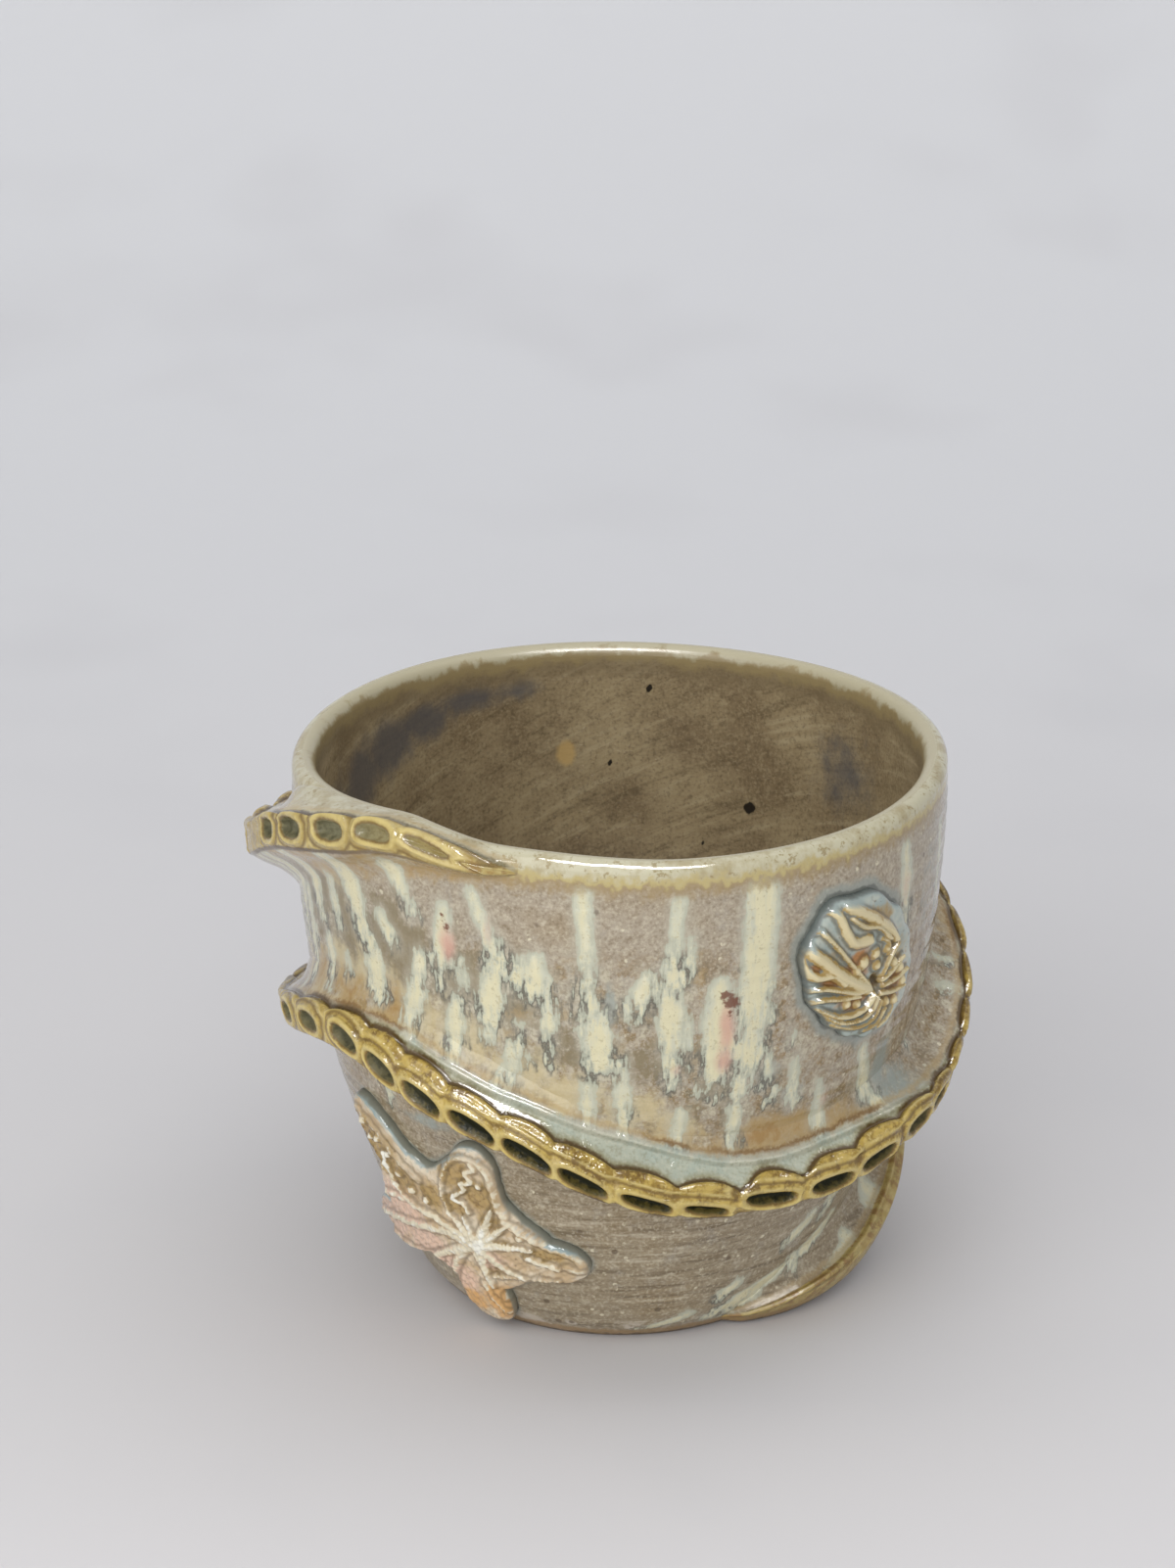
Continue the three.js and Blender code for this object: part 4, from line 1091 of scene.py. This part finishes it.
def star_relief(across, up, rim_dist):
    raised, side = rib_field(across, up, STAR_RIBS, STAR_KNOBS)
    raised = 0.8 * raised
    edge, plain = dome(rim_dist, 1.8, STAR_THICKNESS, 0.2, 0.55)
    bumps = 0.13 * np.sin(1.9 * across + 0.7 * up) * np.sin(2.3 * up - 0.4 * across)
    bumps = bumps + 0.1 * np.sin(5.1 * across - 2 * up) * np.sin(4.3 * up + across)
    return plain + (raised + bumps) * edge, relief_marks(across, up, raised, side, rim_dist, STAR_SPOTS)


# %% [markdown]
# ### The shell medallion
# Ribs sweep from the upper left edge into a hub low on the right, where they turn to small rays and
# knobs.

# %% The shell medallion
SHELL_RIBS = [
    [[(-8.8, 9.6), (-7, 9.8), (-5.7, 8.5), (-4.6, 6.4), (-3.1, 4.5), (-0.6, 4.1)], 0.5, 0.8, 1.2],
    [[(-4.4, 9.8), (-2.2, 8.4), (0.3, 6.8), (3.2, 4.6), (4.8, 2.6)], 0.9, 0.6, 1.1],
    [[(-3.8, 8), (-1.4, 6.2), (1, 5.4), (3.4, 3.2)], 0.35, 0.4, 1.1],
    [[(-10.6, 7.4), (-10, 8.6), (-8.8, 7.4)], 0.6, 0.5, 0.8],
    [[(-10.8, 6.6), (-9.8, 5), (-7.6, 3), (-5, 0.6), (-2, -1.6), (0.2, -2.9)], 0.8, 0.9, 1.3],
    [[(-8.1, 7.1), (-5.6, 4.3), (-3, 1.2), (-0.2, -2.1)], 0.35, 0.35, 1.1],
    [[(-11, 3.8), (-10.4, 2.4), (-8.6, 1.2), (-6.2, 0.8), (-4.3, -0.8)], 0.7, 0.6, 1.1],
    [[(-10, -0.9), (-7.8, -0.6), (-4.5, -1.8), (-1.9, -2.8), (0, -2.6)], 0.35, 0.5, 1.1],
    [[(-9.4, -2.7), (-7.7, -2.2), (-4.5, -2.9), (-1.6, -3.4)], 0.5, 0.4, 1],
    [[(-8, -3.6), (-5, -5.2), (-2.5, -5.8), (-0.2, -5.4), (1.2, -4.1)], 0.4, 0.5, 1.1],
    [[(-6.9, -4.8), (-4.1, -6.4), (-0.8, -7), (1.2, -6.3), (2, -4.8)], 0.35, 0.4, 0.9],
    [[(-5.4, -6.4), (-3.4, -7.4), (-0.5, -8), (1.8, -7.5), (2.9, -5.6)], 0.35, 0.4, 0.8],
    [[(0.2, -8.9), (2.6, -8.6), (4, -7)], 0.4, 0.3, 0.7],
    [[(2.8, -9.2), (4.6, -8.6), (5.4, -7.2)], 0.4, 0.3, 0.7],
    [[(2.6, -2.6), (4.6, -1.8), (6.8, -0.6)], 0.5, 0.3, 0.9],
    [[(3, -3.4), (5.6, -3.4), (8, -2.8)], 0.5, 0.3, 0.9],
    [[(2.6, -4.4), (5, -5), (7.6, -5)], 0.5, 0.3, 0.9],
    [[(2.4, -1.8), (3.8, 0.2), (5.2, 1.8)], 0.5, 0.3, 0.9],
    [[(3.4, 1), (3.2, 2.6), (1.8, 3.6)], 0.4, 0.4, 0.8]]
SHELL_KNOBS = [
    [-1.2, 1.1, 1], [-2.4, 0.4, 0.8], [2.9, 1.8, 0.7], [6.2, -2, 0.9], [7, -4.2, 0.9], [5.6, -6.4, 0.8],
    [0.8, 1.8, 0.9], [4.8, -0.8, 0.7], [3.8, -6, 0.7], [1.2, 0, 0.8], [-3.6, -3.9, 0.8], [-1.8, -4.4, 0.7]]
SHELL_SPOTS = {
    "ochre": [[1, 7.2, 3, 1.6, 0.8], [5, 1, 3, 3, 0.6], [1.5, -2.8, 1.4, 1.2, 1], [4, -6, 4, 3, 0.6],
              [-7, 3.2, 3, 1.4, 0.5]],
    "flush": [[-1.8, 1.2, 2, 1.8, 1], [-2.6, -4, 2.2, 1.4, 1], [-5.6, 0.2, 2.4, 1.4, 0.9],
              [6, -4, 2.6, 3, 0.6], [-9.6, 2.4, 1.4, 1.2, 0.7]]}
# The ribs and knobs are drawn on a plan a little smaller than the shell
SHELL_SCALE = 0.94


def shell_relief(across, up, rim_dist):
    raised, side = rib_field(SHELL_SCALE * across, SHELL_SCALE * up, SHELL_RIBS, SHELL_KNOBS)
    hub = np.exp(-(np.hypot(across - 1.5, up + 2.8) / 1.1) ** 2)
    edge, plain = dome(rim_dist, 1.6, SHELL_THICKNESS, 0.2, 0.36)
    relief = plain + (raised - 0.9 * hub) * (0.25 + 0.75 * edge)
    return relief, {**relief_marks(across, up, raised, side, rim_dist, SHELL_SPOTS), "orange": hub}


# %% [markdown]
# ### Glazes of the reliefs
# On a relief the glaze breaks: it runs thin and warm over crests, and pools cool and pale in hollows.
# Edges that face up hold a pool of their own. The dark lines along the sides of the ribs are painted shade.

# %% Relief glazes
STAR_TINTS = {
    "hollow": (196, 171, 134), "ground": (222, 208, 182), "ochre": (174, 146, 92), "flush": (224, 192, 168),
    "orange": (214, 168, 108), "low_crest": (222, 212, 184), "high_crest": (238, 236, 222),
    "outline": (126, 126, 112), "pool": (150, 166, 164)}
SHELL_TINTS = {
    "hollow": (160, 174, 168), "ground": (190, 194, 180), "ochre": (164, 140, 92), "flush": (178, 122, 62),
    "orange": (88, 72, 48), "low_crest": (176, 150, 94), "high_crest": (214, 200, 158),
    "outline": (98, 104, 100), "pool": (158, 170, 164)}


def mix_relief_glaze(name, side_shade_share, tints):
    mix = Palette(name)
    mix.kept = {"cloud": mix.noise(5, detail=3), "fray": mix.noise(1.6, detail=3, roughness=0.6),
                "speck": mix.noise(0.5, detail=1, seed=0.02), "grit": mix.noise(0.9, detail=2, seed=0.06)}
    paint = mix.coat(tints["hollow"], tints["ground"], mix.plus("cloud", fray=0.6), -0.15, 0.2)
    for mark in ("ochre", "flush", "orange"):
        paint = mix.coat(paint, tints[mark], mix.plus(mark, fray=0.9), 0.2, 0.65, 0.95)
    browned = mix.times(mix.step("ochre", 0.3, 0.8), mix.step(mix.plus("grit", fray=1.0), 0.0, 0.2))
    paint = mix.paint(paint, (122, 94, 54), mix.times(browned, 0.75))
    paint = mix.coat(paint, (98, 76, 46), mix.plus("grit", speck=0.8), 0.15, 0.4, 0.6)
    crest = mix.plus("crest", grit=0.7)
    # Painted shade: dark lines along the sides of the ribs
    paint = mix.stripe(paint, (84, 70, 42), mix.plus("side", fray=0.5), 0.15, 0.45, side_shade_share)
    paint = mix.coat(paint, tints["low_crest"], crest, 0.35, 0.5)
    paint = mix.coat(paint, tints["high_crest"], mix.plus(crest, cloud=1.2, fray=0.8), 0.55, 0.85)
    normal = mix.put("ShaderNodeNewGeometry", {}, "True Normal")
    facing_up = mix.put("ShaderNodeSeparateXYZ", {0: normal}, "Z")
    near_edge = mix.step(mix.plus("rim_dist", fray=1.0), 1.9, 0.7)
    paint = mix.coat(paint, tints["pool"], facing_up, 0.15, 0.55, 1.0, near_edge)
    paint = mix.coat(paint, tints["outline"], mix.plus("rim_dist", fray=0.5), 0.6, 0.15, 0.9)
    return mix.finish(paint, mix.plus(mix.times("speck", 0.05), grit=0.14),
                      mix.step("speck", -0.3, 0.3, 0.1, 0.2))


star_glaze = mix_relief_glaze("starfish_glaze", 0.5, STAR_TINTS)
shell_glaze = mix_relief_glaze("shell_glaze", 0.65, SHELL_TINTS)
make_sprig("starfish_relief", "starfish", star_glaze, 480, 88, star_edge, star_relief,
           (0, 0), STAR_BEARING, STAR_HEIGHT)
make_sprig("shell_relief", "shell_medallion", shell_glaze, 420, 72, shell_edge, shell_relief,
           SHELL_HUB, SHELL_BEARING, SHELL_HEIGHT)

# %% [markdown]
# ## Floor, light and camera
# The cup stands on pale cloth that sweeps up behind it. A broad soft light hangs over it and a wide
# one fills the front. The window is seen only in the shine of the glaze, as bright lines. The
# camera's place, turn and lens come from fitting the photographed mouth and foot, and a portrait
# picture of 1200 by 1601 is assumed.

# %% The sweep
def make_sweep():
    bm = bmesh.new()
    path = [(-0.45, 0), (0.25, 0), (0.42, 0.012), (0.55, 0.06), (0.64, 0.15), (0.68, 0.3), (0.7, 0.9)]
    verts = [bm.verts.new((-0.9, y, z)) for y, z in path]
    edges = [bm.edges.new(pair) for pair in zip(verts, verts[1:])]
    pulled = bmesh.ops.extrude_edge_only(bm, edges=edges)["geom"]
    bmesh.ops.translate(bm, vec=(1.8, 0, 0), verts=[v for v in pulled if isinstance(v, bmesh.types.BMVert)])
    bmesh.ops.recalc_face_normals(bm, faces=bm.faces)
    mesh = bpy.data.meshes.new("cloth_sweep")
    bm.to_mesh(mesh)
    bm.free()
    sweep = bpy.data.objects.new("cloth_sweep", mesh)
    bpy.context.collection.objects.link(sweep)
    rounder = sweep.modifiers.new("round", "SUBSURF")
    rounder.levels = rounder.render_levels = 3
    for face in mesh.polygons:
        face.use_smooth = True
    return sweep


def mix_cloth():
    mix = Palette("cloth")
    depth = mix.put("ShaderNodeSeparateXYZ", {0: mix.place}, "Y")
    # Painted light and shade: the cloth is painted lighter towards the front, to make up for the lamps
    # reaching it less there; it is darkest where the cup stands and a little lighter far behind
    tone = mix.coat((235, 231, 230), (208, 206, 206), depth, -0.25, 0.02)
    tone = mix.coat(tone, (214, 214, 215), depth, 0.02, 0.4)
    tone = mix.coat(tone, (204, 203, 204), mix.noise(70), 0.0, 0.25, 0.5)
    mix.tree.links.new(tone, mix.shader.inputs["Base Color"])
    mix.shader.inputs["Roughness"].default_value = 0.9
    return mix.material


make_sweep().data.materials.append(mix_cloth())


# %% Lights
def hang_light(name, place, size, power):
    light = bpy.data.lights.new(name, "AREA")
    light.shape = "RECTANGLE"
    light.size, light.size_y = size
    light.energy = power
    lamp = bpy.data.objects.new(name, light)
    lamp.location = place
    lamp.rotation_euler = (Vector((0, 0, 0.04)) - Vector(place)).to_track_quat("-Z", "Y").to_euler()
    bpy.context.collection.objects.link(lamp)
    return lamp


hang_light("overhead", (0.1, 0.2, 1.1), (1.2, 1.0), 3.4)
hang_light("front_fill", (-0.4, -1.05, 0.5), (1.5, 1.5), 12)
hang_light("window", (0.08, -0.55, 0.9), (0.7, 0.34), 26).visible_diffuse = False
world = bpy.data.worlds.new("room")
world.use_nodes = True
world.node_tree.nodes["Background"].inputs["Color"].default_value = colour(232, 234, 240)
world.node_tree.nodes["Background"].inputs["Strength"].default_value = 0.6
bpy.context.scene.world = world
bpy.context.scene.view_settings.view_transform = "Standard"

# %% The camera
CAMERA_DISTANCE, CAMERA_ELEVATION = 600, 24.0869
CAMERA_YAW, CAMERA_PITCH, CAMERA_AIM = -0.436, 3.1295, 37.5
FOCAL_PIXELS, PICTURE_TALL, SENSOR = 4321.7, 1601, 36


def place_camera():
    up_angle, yaw, pitch = (v * DEGREE for v in (CAMERA_ELEVATION, CAMERA_YAW, CAMERA_PITCH))
    look = Vector((0, math.cos(up_angle), -math.sin(up_angle)))
    right = Vector((1, 0, 0))
    up = right.cross(look)
    look, right = look * math.cos(yaw) + right * math.sin(yaw), right * math.cos(yaw) - look * math.sin(yaw)
    look, up = look * math.cos(pitch) + up * math.sin(pitch), up * math.cos(pitch) - look * math.sin(pitch)
    data = bpy.data.cameras.new("camera")
    data.sensor_width = SENSOR
    data.lens = FOCAL_PIXELS * SENSOR / PICTURE_TALL
    camera = bpy.data.objects.new("camera", data)
    away, raised = CAMERA_DISTANCE * math.cos(up_angle), CAMERA_DISTANCE * math.sin(up_angle)
    spot = Vector((0, -away, CAMERA_AIM + raised))
    camera.matrix_world = Matrix.Translation(spot * MM) @ Matrix((right, up, -look)).transposed().to_4x4()
    bpy.context.collection.objects.link(camera)
    bpy.context.scene.camera = camera
    print("lens, millimetres:", round(data.lens, 2))


place_camera()
